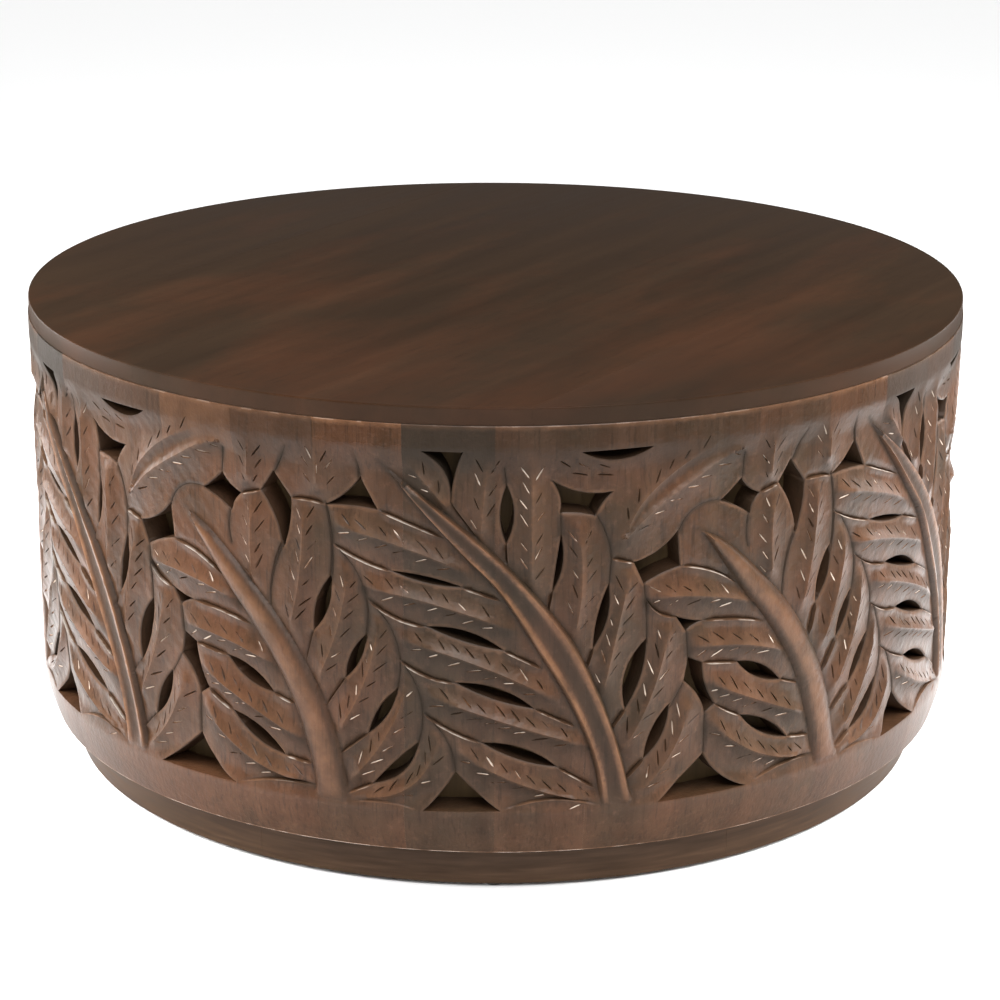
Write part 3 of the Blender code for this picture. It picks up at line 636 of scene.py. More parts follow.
# Most nicks on the flanks that face away from the light, and a few on the lit flanks, get a pale floor painted as a
# glint; the other nicks are painted dark as shade.
NICK_GLINT = (2.0, 3.2)
GLINT_SHARE_SHADED, GLINT_SHARE_LIT = 0.8, 0.12
nicks = []
flanks = [(line, (-1.0, 1.0)) for line in midribs] + [(sprig_upper[::-1], (1.0,)), (sprig_lower[::-1], (-1.0,))]
for line, hands in flanks:
    fine = dense(line)
    facing = rights(fine)
    length = FINE_GAP * len(fine)
    for hand in hands:
        at = chance.uniform(9.0, 16.0)
        while at < length - 8.0:
            spot = int(at / FINE_GAP)
            out = facing[spot] * hand
            to_tip = np.array((facing[spot][1], -facing[spot][0]))
            slope = math.radians(chance.uniform(24.0, 40.0))
            way = to_tip * math.cos(slope) + out * math.sin(slope)
            start = fine[spot] + out * chance.uniform(2.0, 4.0)
            reach = chance.uniform(*NICK_LENGTH)
            glint_share = GLINT_SHARE_SHADED if (out * LIT_WAY).sum() < 0.0 else GLINT_SHARE_LIT
            for _ in range(3):
                test = start + way * np.linspace(0.0, reach, 7)[:, None]
                room = borders_found.find(test)[1].min()
                if room > 2.0 and not any(inside(test, shape).any() for shape in outlines + stem_outlines):
                    pale = chance.uniform(*NICK_GLINT) if chance.random() < glint_share else 0.0
                    end = start + way * reach
                    nicks.append((start, end, chance.uniform(*NICK_HALF_WIDTH), chance.uniform(*NICK_DEPTH), pale))
                    break
                reach *= 0.72
            at += NICK_GAP * chance.uniform(0.75, 1.25)
for x, z, end_x, end_z in LOOSE_NICKS:
    half, drop = chance.uniform(*NICK_HALF_WIDTH), chance.uniform(*NICK_DEPTH)
    # Some loose nicks get a pale floor painted as a glint.
    nicks.append((on_wall(x, z), on_wall(end_x, end_z), half, drop, chance.choice((0.0, 1.5, 2.0))))

FOOT_TURN_TOP = 88.0
FOOT_TURN_IN = 10.0
FOOT_BEND = 65.0
ARRIS_HEIGHT = 0.6
ARRIS_IN = 0.5
TOP_ARRIS_HIGHLIGHT = 0.9
FOOT_ARRIS_HIGHLIGHT = 1.5
NICK_PAINTED_SHADE = 0.6
BACK_PAINTED_SHADE = 0.4
NICK_LIP = ((0.0, 0.0), (0.25, 1.0), (0.7, 0.8), (1.0, 0.0), (0.7, -0.8), (0.25, -1.0))
STEM_LINES = ((0.06, 10.0), (0.13, 6.0), (0.3, 8.0), (0.5, 2.0), (0.68, 8.0), (0.87, 6.0), (0.94, 10.0))


def edge_rounding(height):
    """How far the foot of the wall turns in towards the plinth, and its top edge is eased."""
    foot = unit((FOOT_TURN_TOP - height) / (FOOT_TURN_TOP - WALL_FOOT))
    return FOOT_TURN_IN * foot ** 1.5 + ARRIS_IN * unit((height - WALL_TOP + ARRIS_HEIGHT) / ARRIS_HEIGHT)


def within(line, low, high):
    """The stretches of a line that lie near one stave."""
    near = (line[:, 0] > low - 3.0) & (line[:, 0] < high + 3.0)
    stretches, current = [], []
    for point, held in zip(line, near):
        if held:
            current.append(point)
        elif current:
            stretches.append(np.array(current))
            current = []
    if current:
        stretches.append(np.array(current))
    return [stretch for stretch in stretches if len(stretch) > 1]


def lines_near(low, high):
    """The drawn lines near one stave, which its mesh follows."""
    lines = []
    for line in closed:
        lines += [line, beside(line, EDGE_EASE)]
    for line, side in zip(cut_lines, cut_sides):
        lines += [beside(line, offset * side) for offset, _ in STEP_ACROSS[1:-1]]
    for line, half in zip(channel_lines, channel_halves):
        floor = np.maximum(half - CHANNEL_SLOPE, 0.0)
        lines += [beside(line, half), beside(line, -half)]
        lines += [beside(line, floor), beside(line, -floor)] if floor.max() > 0.4 else [line]
    lines += rib_lines
    for left, right in zip(stem_lefts, stem_rights):
        shares, right_shares = np.linspace(0.0, 1.0, len(left)), np.linspace(0.0, 1.0, len(right))
        partner = np.stack([np.interp(shares, right_shares, right[:, k]) for k in (0, 1)], axis=1)
        width = np.hypot(*(partner - left).T)
        lines += [left, right]
        lines += [(left + (partner - left) * share)[width > least] for share, least in STEM_LINES]
    return [stretch for line in lines for stretch in within(line, low, high)]


def rounded(place):
    """A drawn place, rounded so that it is found again among the points of the mesh."""
    return round(place[0], 3), round(place[1], 3)


def face_sides(face):
    """The three sides of a face, each in the direction of its turn."""
    a, b, c = face
    return (a, b), (b, c), (c, a)


def fill_rim(points, rim):
    """The faces that fill a rim, with its openings and notches left out."""
    _, _, faces, *_ = delaunay_2d_cdt([Vector(point) for point in points], rim, [], 0, 0.0, False)
    owner = {side: n for n, face in enumerate(faces) for side in face_sides(face)}
    walls = set(rim)
    reached = {owner[side] for side in rim}
    waiting = sorted(reached)
    while waiting:
        for side in set(face_sides(faces[waiting.pop()])) - walls:
            beyond = owner[side[::-1]]
            if beyond not in reached:
                reached.add(beyond)
                waiting.append(beyond)
    return [faces[n] for n in sorted(reached)]


def carve_stave(number):
    """One stave of the repeat: carved front, pierced through, with radial edges and a flat back."""
    low = math.radians(FIRST_EDGE + STAVE_DEGREES * number) * DRUM_RADIUS
    high = math.radians(FIRST_EDGE + STAVE_DEGREES * (number + 1)) * DRUM_RADIUS
    middle = (low + high) / 2.0 / DRUM_RADIUS
    points, edges, deep, lips = [], [], {}, {}

    def draw(line, ring=False):
        first = len(points)
        points.extend(line)
        edges.extend((first + n, first + n + 1) for n in range(len(line) - 1))
        if ring:
            edges.append((first + len(line) - 1, first))

    heights = np.concatenate((
        np.linspace(WALL_FOOT, FOOT_BEND, 9)[:-1], np.linspace(FOOT_BEND, FIELD_BOTTOM, 6)[:-1],
        np.linspace(FIELD_BOTTOM, FIELD_TOP, 154)[:-1], np.linspace(FIELD_TOP, WALL_TOP - ARRIS_HEIGHT, 7), (WALL_TOP,),
    ))
    crossing = np.linspace(low + SEAM, high - SEAM, 17)
    rim = [(high - SEAM, z) for z in heights] + [(x, WALL_TOP) for x in crossing[::-1][1:-1]]
    rim += [(low + SEAM, z) for z in heights[::-1]] + [(x, WALL_FOOT) for x in crossing[1:-1]]
    draw(np.array(rim), ring=True)
    for z in (WALL_FOOT + 0.9, WALL_TOP - ARRIS_HEIGHT):
        draw(np.array([(x, z) for x in crossing]))
    for stretch in lines_near(low, high):
        draw(stretch)

    nick_points = []
    for turn in TURNS:
        for start, end, half, drop, pale in nicks:
            start, end = start + (turn * REPEAT_WIDTH, 0.0), end + (turn * REPEAT_WIDTH, 0.0)
            if max(start[0], end[0]) < low - 2.0 or min(start[0], end[0]) > high + 2.0:
                continue
            along = end - start
            right = np.array((along[1], -along[0])) / math.hypot(*along) * half
            lip = np.array([start + along * at + right * wide for at, wide in NICK_LIP])
            draw(lip, ring=True)
            for place in lip:
                lips[rounded(place)] = len(nick_points)
            lean = right * (0.4 if (right * LIT_WAY).sum() > 0.0 else -0.4)
            floor = np.array((start + along * 0.14 + lean * 0.6, start + along * 0.84 + lean * 0.6))
            for place in floor:
                deep[rounded(place)] = (drop, pale)
            draw(np.array((start, floor[0], floor[1], end)))
            nick_points += [start + along * share for share in np.linspace(0.0, 1.0, 9)]

    taken = KDTree(len(points) + len(nick_points))
    for n, (x, y) in enumerate(points + nick_points):
        taken.insert((x, y, 0.0), n)
    taken.balance()
    row = 0
    y = WALL_FOOT + 1.5
    while y < WALL_TOP - 1.0:
        gap = FILL_GAP if FIELD_BOTTOM - 4.0 < y < FIELD_TOP + 2.0 else 2.0 * FILL_GAP
        for x in np.arange(low + gap * (0.5 if row % 2 else 1.0), high - gap * 0.4, gap):
            place = (x + chance.uniform(-0.2, 0.2) * gap, y + chance.uniform(-0.2, 0.2) * gap)
            if taken.find((*place, 0.0))[2] > 0.62 * gap:
                points.append(np.array(place))
        row += 1
        y += gap * 0.87

    verts, _, faces, *_ = delaunay_2d_cdt([Vector(p) for p in points], edges, [], 0, 0.02, False)
    verts = np.array([tuple(v) for v in verts])
    faces = np.array(faces)
    centres = verts[faces].mean(1)
    kept = ((centres > (low + SEAM, WALL_FOOT)) & (centres < (high - SEAM, WALL_TOP))).all(1)
    for outline in outlines:
        kept &= ~inside(centres, outline)
    faces = faces[kept]
    used = np.unique(faces)
    renumber = np.full(len(verts), -1)
    renumber[used] = np.arange(len(used))
    verts, faces = verts[used], renumber[faces]
    depth, rub_and_highlight, painted_shade = carve(verts)
    # Each nick floor is painted pale as a glint when it has one, and dark as shade when not.
    for n, place in enumerate(verts):
        drop, pale = deep.get(rounded(place), (0.0, 0.0))
        if drop:
            depth[n] += drop
            rub_and_highlight[n], painted_shade[n] = (pale, 0.0) if pale else (0.0, NICK_PAINTED_SHADE)
    radius = DRUM_RADIUS - depth - edge_rounding(verts[:, 1])
    # Thin lines along the foot and top arrises are rubbed and painted pale as highlights.
    rub_and_highlight = np.where(verts[:, 1] < WALL_FOOT + 0.8, FOOT_ARRIS_HIGHLIGHT, rub_and_highlight)
    rub_and_highlight = np.where(verts[:, 1] > WALL_TOP - 0.9, TOP_ARRIS_HIGHLIGHT, rub_and_highlight)
    angle = verts[:, 0] / DRUM_RADIUS
    front = np.stack((radius * np.sin(angle), -radius * np.cos(angle), verts[:, 1]), axis=1)

    pairs = dict.fromkeys(side for face in faces for side in face_sides(face))
    rim_pairs = [(a, b) for a, b in pairs if (b, a) not in pairs]
    rim_points = sorted({n for pair in rim_pairs for n in pair})
    order = {n: k for k, n in enumerate(rim_points)}
    rim_verts, rim_angle = verts[rim_points], angle[rim_points]
    back_radius = WALL_BACK / np.cos(rim_angle - middle)
    back = np.stack((back_radius * np.sin(rim_angle), -back_radius * np.cos(rim_angle), rim_verts[:, 1]), axis=1)
    back_faces = fill_rim(rim_verts, [(order[a], order[b]) for a, b in rim_pairs])
    size = len(front)
    shell = np.concatenate((front, back)) / 1000.0
    skin = [tuple(face) for face in faces]
    skin += [(b, a, size + order[a], size + order[b]) for a, b in rim_pairs]
    skin += [tuple(size + n for n in face[::-1]) for face in back_faces]
    mesh = bpy.data.meshes.new("carved_stave")
    mesh.from_pydata([tuple(v) for v in shell], [], skin)
    mesh.update()
    ring = [lips.get(rounded(place)) for place in verts] + [None] * len(back)
    for edge in mesh.edges:
        a, b = edge.vertices
        edge.use_edge_sharp = ring[a] is not None and ring[a] == ring[b]
    data = np.zeros((len(shell), 3), np.float32)
    data[:size, 0], data[:size, 1] = rub_and_highlight, painted_shade
    # The back is painted dark as shade, so the cut sides of the openings darken towards it.
    data[size:, 1] = BACK_PAINTED_SHADE
    carving = mesh.attributes.new("carving", "FLOAT_VECTOR", "POINT")
    carving.data.foreach_set("vector", data.ravel())
    return mesh


# The stain of each stave from brown to red, in the plain band and the foot more than in the carving.
STAVE_TONES = (
    0.62, 0.00, 0.40, 0.30, 0.32, 0.40, 0.74, 0.78, 0.66, 0.50, 0.50, 0.10, 0.24, 0.60, 0.42, 0.05, 0.52, 0.26,
    0.38, 0.66, 0.30, 0.02, 0.46, 0.58, 0.26, 0.40, 0.12, 0.62, 0.24, 0.48, 0.36, 0.60, 0.70, 0.72, 1.00, 0.80,
)
MEAN_TONE = 0.36
CARVED_TONE_SHARE = 0.35
FOOT_TONE_SHARE = 0.12
STAVE_CRISP_EDGE = math.radians(38.0)
WALL_BROWN = ((0.2, (0.023, 0.0131, 0.0069)), (0.5, (0.034, 0.0195, 0.0103)), (0.8, (0.046, 0.0266, 0.0141)))
WALL_RED = ((0.2, (0.040, 0.0165, 0.0078)), (0.5, (0.058, 0.0246, 0.0116)), (0.8, (0.078, 0.0337, 0.0163)))
FLECK_COLOUR = (0.105, 0.051, 0.030)
PORE_COLOUR = (0.012, 0.007, 0.004)
WEAR_AND_HIGHLIGHT_COLOUR = (0.150, 0.070, 0.034)
GLINT_COLOUR = (0.60, 0.53, 0.46)
STAIN_AND_SHADE_COLOUR = (0.014, 0.0085, 0.0043)


def link_axes(tree, vector):
    """The three parts of a place or a way."""
    axes = tree.nodes.new("ShaderNodeSeparateXYZ")
    tree.links.new(vector, axes.inputs["Vector"])
    return axes.outputs


def link_mix(tree, share, first, second):
    """Two colours mixed by a share, each a socket or a plain colour."""
    mix = tree.nodes.new("ShaderNodeMix")
    mix.data_type = "RGBA"
    sockets = {socket.identifier: socket for socket in mix.inputs}
    for value, name in ((share, "Factor_Float"), (first, "A_Color"), (second, "B_Color")):
        if hasattr(value, "is_linked"):
            tree.links.new(value, sockets[name])
        else:
            sockets[name].default_value = (*value, 1.0)
    return {socket.identifier: socket for socket in mix.outputs}["Result_Color"]


def link_sum(tree, kind, *values):
    """Values joined by one step of arithmetic, each a socket or a plain number."""
    step = tree.nodes.new("ShaderNodeMath")
    step.operation = kind
    for value, socket in zip(values, step.inputs):
        if hasattr(value, "is_linked"):
            tree.links.new(value, socket)
        else:
            socket.default_value = value
    return step.outputs["Value"]


drum_finish, tree, shader, place = new_finish("drum_finish")
grain_place = link_stretch(tree, place, (1.0, 1.0, 0.06))
pores = link_noise(tree, grain_place, scale=420.0, detail=6.0, roughness=0.6)
streaks = link_noise(tree, grain_place, scale=60.0, detail=5.0)
clouds = link_noise(tree, place, scale=17.0, detail=6.0)
specks = link_noise(tree, place, scale=150.0, detail=5.0, roughness=0.65)
patches = link_noise(tree, place, scale=50.0, detail=4.0)
strokes = link_noise(tree, place, scale=190.0, detail=3.0)
carved = tree.nodes.new("ShaderNodeAttribute")
carved.attribute_name = "carving"
carving = link_axes(tree, carved.outputs["Vector"])
# The carving attribute holds the rub with painted highlights, the painted shade with the darker stain of some staves,
# and the stave's tone.
wear_and_highlight_mark, stain_and_shade_mark, stave_tone = carving["X"], carving["Y"], carving["Z"]
redness = link_range(tree, link_sum(tree, "MULTIPLY_ADD", clouds, 1.6, stave_tone), 0.9, 1.5, 0.0, 1.0)
stained = link_mix(tree, redness, link_ramp(tree, streaks, WALL_BROWN), link_ramp(tree, streaks, WALL_RED))
stained = link_mix(tree, link_range(tree, specks, 0.54, 0.70, 0.0, 0.32), stained, FLECK_COLOUR)
stained = link_mix(tree, link_range(tree, pores, 0.52, 0.70, 0.0, 0.6), stained, PORE_COLOUR)
# Rub and painted highlight lighten the stain and turn pale as a painted glint where strong; painted shade and darker
# stain darken it.
wear_and_highlight = link_sum(tree, "MULTIPLY", wear_and_highlight_mark, link_range(tree, patches, 0.38, 0.58, 0.45, 1.0))
stained = link_mix(tree, wear_and_highlight, stained, WEAR_AND_HIGHLIGHT_COLOUR)
stained = link_mix(tree, link_range(tree, wear_and_highlight, 0.8, 1.6, 0.0, 1.0), stained, GLINT_COLOUR)
stained = link_mix(tree, stain_and_shade_mark, stained, STAIN_AND_SHADE_COLOUR)
tree.links.new(stained, shader.inputs["Base Color"])
rough = link_range(tree, streaks, 0.25, 0.75, 0.33, 0.41)
rough = link_sum(tree, "MULTIPLY_ADD", stain_and_shade_mark, 0.35, rough)
smoother = link_range(tree, link_axes(tree, place)["Z"], 0.408, 0.424, 0.0, -0.22)
tree.links.new(link_sum(tree, "ADD", rough, smoother), shader.inputs["Roughness"])
shader.inputs["Specular IOR Level"].default_value = 0.30
link_bump(tree, shader, link_sum(tree, "MULTIPLY_ADD", pores, 0.22, strokes), strength=0.45, distance=0.0011)

for number in range(6):
    mesh = carve_stave(number)
    for turn in range(6):
        n = 6 * turn + number + 1
        stave = bpy.data.objects.new(f"carved_stave_{n:02d}", mesh if turn == 0 else mesh.copy())
        bpy.context.collection.objects.link(stave)
        if turn:
            stave.data.transform(Matrix.Rotation(math.radians(60.0 * turn), 4, "Z"))
        values = np.zeros(len(stave.data.vertices) * 3, np.float32)
        stave.data.attributes["carving"].data.foreach_get("vector", values)
        places = np.zeros(len(values), np.float32)
        stave.data.vertices.foreach_get("co", places)
        height = 1000.0 * places[2::3]
        tone = STAVE_TONES[n - 1]
        plain = CARVED_TONE_SHARE + (1.0 - CARVED_TONE_SHARE) * smooth_step(height, FIELD_TOP - 24.0, FIELD_TOP)
        plain += FOOT_TONE_SHARE * (1.0 - smooth_step(height, FIELD_BOTTOM - 6.0, FIELD_BOTTOM + 16.0))
        upper = smooth_step(height, FIELD_TOP - 45.0, FIELD_TOP)
        values[0::3] += 4.0 * max(0.0, tone - 0.9) * upper * (height < WALL_TOP - 1.0)
        values[1::3] += 1.2 * max(0.0, 0.2 - tone) * plain
        # The plain band under the top is painted darker as shade, less so on the reddest staves.
        values[1::3] += 0.5 * unit((0.85 - tone) / 0.45) * upper
        values[2::3] = MEAN_TONE + (tone - MEAN_TONE) * plain
        stave.data.attributes["carving"].data.foreach_set("vector", values)
        stave.data.materials.append(drum_finish)
        bpy.ops.object.select_all(action="DESELECT")
        stave.select_set(True)
        bpy.context.view_layer.objects.active = stave
        bpy.ops.object.shade_smooth_by_angle(angle=STAVE_CRISP_EDGE)
        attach(stave, "root")
        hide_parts(f"drum_stave_{n:02d}")

# Table top
# Five boards of the same wood, edge-glued with the grain running askew to the front, turned to a
# disc a hair smaller than the wall, its edge eased by hand, stained and lacquered to a satin sheen.
TOP_RADIUS = 0.456
TOP_THICKNESS = 0.016
TABLE_HEIGHT = 0.457
TOP_EASE = 0.0014
GRAIN_TURN = math.radians(57.0)
TOP_BOARDS = 5
HALF_GLUE_LINE = 0.00003
TOP_BROWN = ((0.25, (0.0150, 0.0084, 0.0045)), (0.5, (0.0182, 0.0102, 0.0055)), (0.75, (0.0220, 0.0124, 0.0066)))
TOP_RED = ((0.25, (0.0223, 0.0096, 0.0046)), (0.5, (0.0287, 0.0122, 0.0058)), (0.75, (0.0364, 0.0156, 0.0075)))
TOP_PORE_COLOUR = (0.009, 0.005, 0.003)
RIM_SHEEN_COLOUR = (0.033, 0.0245, 0.0195)

top_finish, tree, shader, place = new_finish("top_finish")
grain_place = link_stretch(tree, place, (12.0, 1.0, 1.0), GRAIN_TURN)
pores = link_noise(tree, grain_place, scale=300.0, detail=6.0, roughness=0.6)
streaks = link_noise(tree, grain_place, scale=26.0, detail=6.0, roughness=0.6)
cloud_place = link_stretch(tree, place, (2.2, 1.0, 1.0), GRAIN_TURN)
clouds = link_noise(tree, cloud_place, scale=9.0, detail=6.0, roughness=0.62)
axes = link_axes(tree, place)
clouds = link_sum(tree, "MULTIPLY_ADD", axes["Y"], -0.28, clouds)
redness = link_range(tree, clouds, 0.46, 0.74, 0.0, 1.0)
stained = link_mix(tree, redness, link_ramp(tree, streaks, TOP_BROWN), link_ramp(tree, streaks, TOP_RED))
stained = link_mix(tree, link_range(tree, pores, 0.58, 0.74, 0.0, 0.45), stained, TOP_PORE_COLOUR)
# The rim of the top is painted lighter and greyer as a sheen.
stained = link_mix(tree, link_range(tree, axes["Z"], 0.4545, 0.4562, 0.3, 0.0), stained, RIM_SHEEN_COLOUR)
tree.links.new(stained, shader.inputs["Base Color"])
tree.links.new(link_range(tree, streaks, 0.25, 0.75, 0.30, 0.40), shader.inputs["Roughness"])
shader.inputs["Specular IOR Level"].default_value = 0.05
link_bump(tree, shader, pores, strength=0.06, distance=0.0004)

bpy.ops.object.select_all(action="DESELECT")
bpy.ops.mesh.primitive_cylinder_add(
    vertices=240, radius=TOP_RADIUS, depth=TOP_THICKNESS, location=(0.0, 0.0, TABLE_HEIGHT - TOP_THICKNESS / 2.0)
)
disc = bpy.context.object
bpy.ops.object.transform_apply(location=True, rotation=True, scale=True)
bpy.ops.object.mode_set(mode="EDIT")
bpy.ops.mesh.select_mode(type="EDGE")
bpy.ops.mesh.select_all(action="DESELECT")
bpy.ops.object.mode_set(mode="OBJECT")
for edge in disc.data.edges:
    edge.select = all(disc.data.vertices[n].co.z > TABLE_HEIGHT - 0.0001 for n in edge.vertices)
bpy.ops.object.mode_set(mode="EDIT")
bpy.ops.mesh.bevel(offset=TOP_EASE, segments=4, affect="EDGES")
bpy.ops.object.mode_set(mode="OBJECT")
across = Vector((-math.sin(GRAIN_TURN), math.cos(GRAIN_TURN), 0.0))
for number in range(1, TOP_BOARDS + 1):
    board = bpy.data.objects.new(f"glued_board_{number}", disc.data.copy())
    bpy.context.collection.objects.link(board)
    bpy.ops.object.select_all(action="DESELECT")
    board.select_set(True)
    bpy.context.view_layer.objects.active = board
    bpy.ops.object.mode_set(mode="EDIT")
    for edge, keep_high in ((number - 1, True), (number, False)):
        if 0 < edge < TOP_BOARDS:
            cut = TOP_RADIUS * (2.0 * edge / TOP_BOARDS - 1.0) + (HALF_GLUE_LINE if keep_high else -HALF_GLUE_LINE)
            bpy.ops.mesh.select_all(action="SELECT")
            bpy.ops.mesh.bisect(
                plane_co=across * cut, plane_no=across, use_fill=True, clear_inner=keep_high, clear_outer=not keep_high
            )
    bpy.ops.mesh.select_all(action="SELECT")
    bpy.ops.mesh.normals_make_consistent(inside=False)
    bpy.ops.object.mode_set(mode="OBJECT")
    bpy.ops.object.shade_smooth_by_angle(angle=CRISP_EDGE)
    board.data.materials.append(top_finish)
    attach(board, "root")
    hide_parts(f"top_board_{number}")
bpy.data.objects.remove(disc, do_unlink=True)

# Plywood liner
# Two thin sheets of flexible plywood, stained brown, bent round inside and glued to the backs of the
# staves, so that the pierced openings show a dark ground and not the inside of the drum.
LINER_COLOURS = ((0.28, (0.037, 0.023, 0.0106)), (0.52, (0.050, 0.031, 0.0143)), (0.76, (0.063, 0.039, 0.0185)))

liner_ply, tree, shader, place = new_finish("liner_plywood")
grain = link_noise(tree, link_stretch(tree, place, (1.0, 1.0, 0.05)), scale=130.0, detail=6.0)
tree.links.new(link_ramp(tree, grain, LINER_COLOURS), shader.inputs["Base Color"])
tree.links.new(link_range(tree, grain, 0.25, 0.75, 0.55, 0.75), shader.inputs["Roughness"])
shader.inputs["Specular IOR Level"].default_value = 0.15
link_bump(tree, shader, grain, strength=0.15, distance=0.0005)


def dress_solids(start, finish):
    """Gives a better finish to the CAD solids whose names start so."""
    for name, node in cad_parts.items():
        if name.startswith(start):
            node.data.materials.clear()
            node.data.materials.append(finish)


dress_solids("liner_sheet", liner_ply)

# Battens and glue blocks under the top
# Plain sawn softwood, left unstained inside the drum: two battens screwed across the boards keep
# the top flat, and three blocks glued into the corner hold it to the liner.
SOFTWOOD_COLOURS = ((0.28, (0.150, 0.088, 0.048)), (0.52, (0.235, 0.145, 0.082)), (0.76, (0.315, 0.205, 0.122)))

inner_wood, tree, shader, place = new_finish("sawn_softwood")
grain_place = link_stretch(tree, place, (16.0, 1.0, 1.0), GRAIN_TURN + math.pi / 2.0)
grain = link_noise(tree, grain_place, scale=90.0, detail=6.0)
tree.links.new(link_ramp(tree, grain, SOFTWOOD_COLOURS), shader.inputs["Base Color"])
tree.links.new(link_range(tree, grain, 0.25, 0.75, 0.62, 0.80), shader.inputs["Roughness"])
link_bump(tree, shader, grain, strength=0.25, distance=0.0008)
dress_solids("top_batten", inner_wood)
dress_solids("glue_block", inner_wood)

# Floor, light and camera
# A plain pale floor, a soft overhead light and wide soft panels in front and at both sides. A card
# under the floor and two low strips at the sides give the lacquer its sheen and are seen in
# reflections only. The camera has the photograph's own long lens.
FLOOR_SIZE = 160.0
CARD_RADIUS = 8.0
CARD_REACH = 2.5
CARD_RING = (
    (0.0, 0.1), (0.20, 0.35), (0.25, 0.8), (0.28, 1.2), (0.33, 1.25),
    (0.47, 1.25), (0.54, 0.8), (0.61, 0.25), (0.66, 0.04), (1.0, 0.02),
)
SKY_BANDS = (
    (0.0, 0.05), (0.1, 0.20), (0.2, 0.65), (0.33, 1.25), (0.44, 1.25),
    (0.5, 0.2), (0.56, 0.02), (0.7, 0.03), (0.85, 0.5), (1.0, 0.7),
)
CAMERA_PLACE = (0.0, -2.79487, 1.14004)
CAMERA_PITCH = math.radians(18.0976)
CAMERA_ROLL = math.radians(0.20495)
CAMERA_YAW = math.radians(0.100915)

bpy.ops.object.select_all(action="DESELECT")
bpy.ops.mesh.primitive_plane_add(size=FLOOR_SIZE, location=(0.0, 0.0, 0.0))
floor = bpy.context.object
floor.name = "studio_floor"
pale = bpy.data.materials.new("pale_floor")
pale.use_nodes = True
shader = pale.node_tree.nodes["Principled BSDF"]
shader.inputs["Base Color"].default_value = (0.90, 0.90, 0.90, 1.0)
shader.inputs["Roughness"].default_value = 0.9
floor.data.materials.append(pale)
floor.visible_glossy = False


def greys(bands):
    """Plain greys to lay along a value."""
    return [(at, (grey, grey, grey)) for at, grey in bands]


bpy.ops.mesh.primitive_circle_add(vertices=64, radius=CARD_RADIUS, fill_type="NGON", location=(0.0, 0.0, -0.01))
card = bpy.context.object
card.name = "reflector_card"
glow, tree, shader, place = new_finish("card_glow")
tree.nodes.remove(shader)
lamp = tree.nodes.new("ShaderNodeEmission")
tree.links.new(lamp.outputs["Emission"], tree.nodes["Material Output"].inputs["Surface"])
squeezed = link_stretch(tree, place, (1.25, 1.0, 1.0))
outward, heading = tree.nodes.new("ShaderNodeVectorMath"), tree.nodes.new("ShaderNodeVectorMath")
outward.operation, heading.operation = "LENGTH", "NORMALIZE"
tree.links.new(squeezed, outward.inputs[0])
tree.links.new(squeezed, heading.inputs[0])
reach = link_range(tree, outward.outputs["Value"], 0.0, CARD_REACH, 0.0, 1.0)
tree.links.new(link_ramp(tree, reach, greys(CARD_RING)), lamp.inputs["Color"])
backward = link_axes(tree, heading.outputs["Vector"])["Y"]
tree.links.new(link_range(tree, backward, -1.0, 0.6, 0.75, 4.8), lamp.inputs["Strength"])
card.data.materials.append(glow)
card.visible_camera = card.visible_diffuse = card.visible_transmission = card.visible_shadow = False

world = bpy.data.worlds.new("studio")
bpy.context.scene.world = world
world.use_nodes = True
tree = world.node_tree
sky = link_axes(tree, tree.nodes.new("ShaderNodeTexCoord").outputs["Generated"])
upward = link_range(tree, sky["Z"], -1.0, 1.0, 0.0, 1.0)
backdrop = tree.nodes["Background"]
tree.links.new(link_ramp(tree, upward, greys(SKY_BANDS)), backdrop.inputs["Color"])
tree.links.new(link_range(tree, sky["Y"], -1.0, 1.0, 0.36, 2.1), backdrop.inputs["Strength"])


def facing(place, aim):
    """The turn that points a light from its place to its aim."""
    return (Vector(aim) - Vector(place)).to_track_quat("-Z", "Y").to_euler()


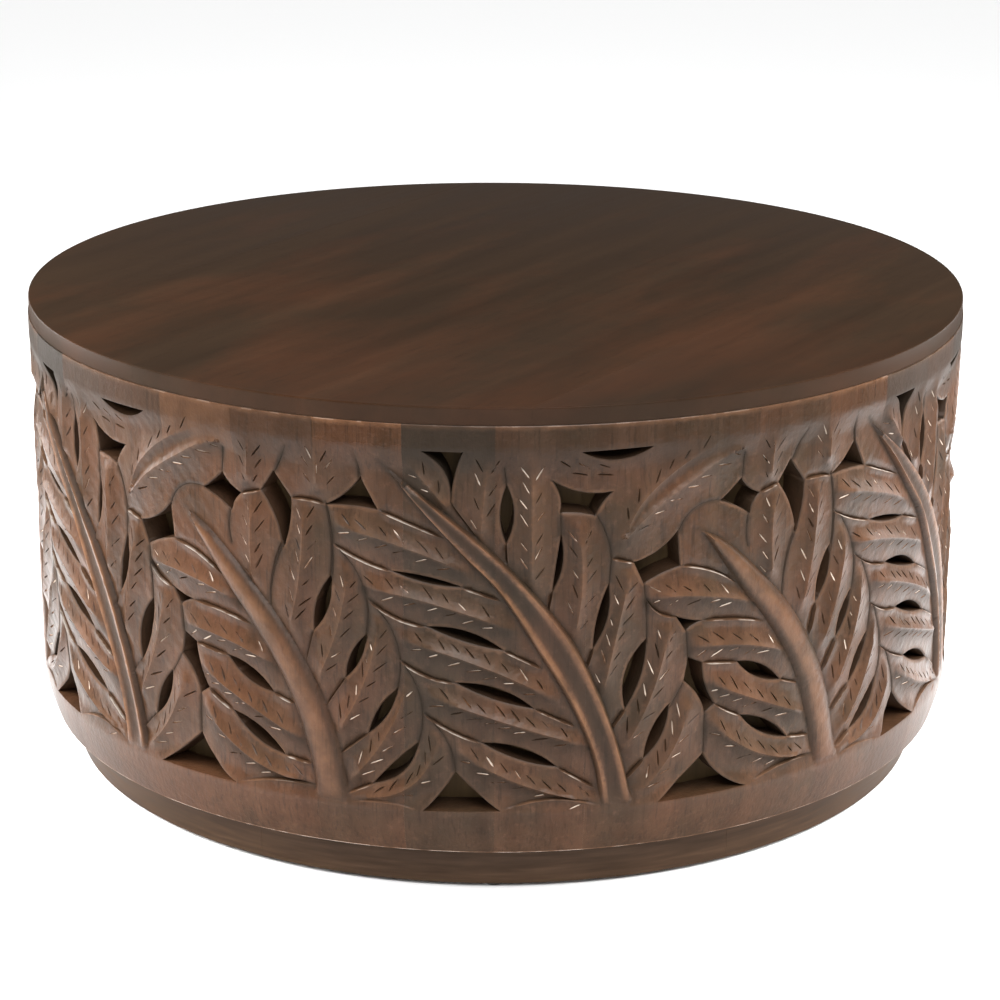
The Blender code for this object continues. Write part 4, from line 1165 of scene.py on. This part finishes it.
def soft_light(name, place, aim, size, power):
    """A wide soft light that faces a point."""
    lamp = bpy.data.lights.new(name, "AREA")
    lamp.shape = "RECTANGLE"
    lamp.size, lamp.size_y = size
    lamp.energy = power
    light = bpy.data.objects.new(name, lamp)
    light.location = place
    light.rotation_euler = facing(place, aim)
    light.visible_camera = False
    bpy.context.collection.objects.link(light)
    return light


sun = bpy.data.lights.new("overhead_light", "SUN")
sun.energy = 1.9
sun.angle = math.radians(45.0)
overhead = bpy.data.objects.new("overhead_light", sun)
overhead.rotation_euler = facing((0.2, -0.8, 1.5), (0.0, 0.0, 0.0))
bpy.context.collection.objects.link(overhead)
soft_light("key_light", (0.8, -1.8, 1.9), (0.0, 0.0, 0.25), size=(1.4, 1.0), power=27.0)
for name, x, power in (("left_light", -1.6, 99.0), ("right_light", 1.6, 80.0)):
    light = soft_light(name, (x, -0.1, 0.9), (0.0, -0.1, 0.35), (1.5, 1.0), power)
    light.visible_glossy = False
for name, x, power in (("left_glint", -0.98, 3.8), ("right_glint", 0.98, 2.4)):
    light = soft_light(name, (x, 0.25, 0.40), (0.0, 0.25, 0.40), (0.9, 0.10), power)
    light.visible_diffuse = False
soft_light("front_light", (0.0, -2.5, 1.65), (0.0, 0.0, 0.25), size=(2.4, 1.1), power=15.0)
light = soft_light("low_light", (0.0, -3.4, 0.45), (0.0, 0.0, 0.2), size=(2.0, 0.7), power=26.0)
light.visible_glossy = False
bpy.context.scene.view_settings.view_transform = "Standard"

lens = bpy.data.cameras.new("camera")
lens.sensor_width = 36.0
lens.lens = 104.717
lens.clip_end = 100.0
camera = bpy.data.objects.new("camera", lens)
bpy.context.collection.objects.link(camera)
ahead = Vector((
    math.sin(CAMERA_YAW) * math.cos(CAMERA_PITCH), math.cos(CAMERA_YAW) * math.cos(CAMERA_PITCH), -math.sin(CAMERA_PITCH),
))
level = Vector((math.cos(CAMERA_YAW), -math.sin(CAMERA_YAW), 0.0))
upright = level.cross(ahead)
right = level * math.cos(CAMERA_ROLL) + upright * math.sin(CAMERA_ROLL)
up = upright * math.cos(CAMERA_ROLL) - level * math.sin(CAMERA_ROLL)
camera.matrix_world = Matrix.Translation(CAMERA_PLACE) @ Matrix((right, up, -ahead)).transposed().to_4x4()
bpy.context.scene.camera = camera
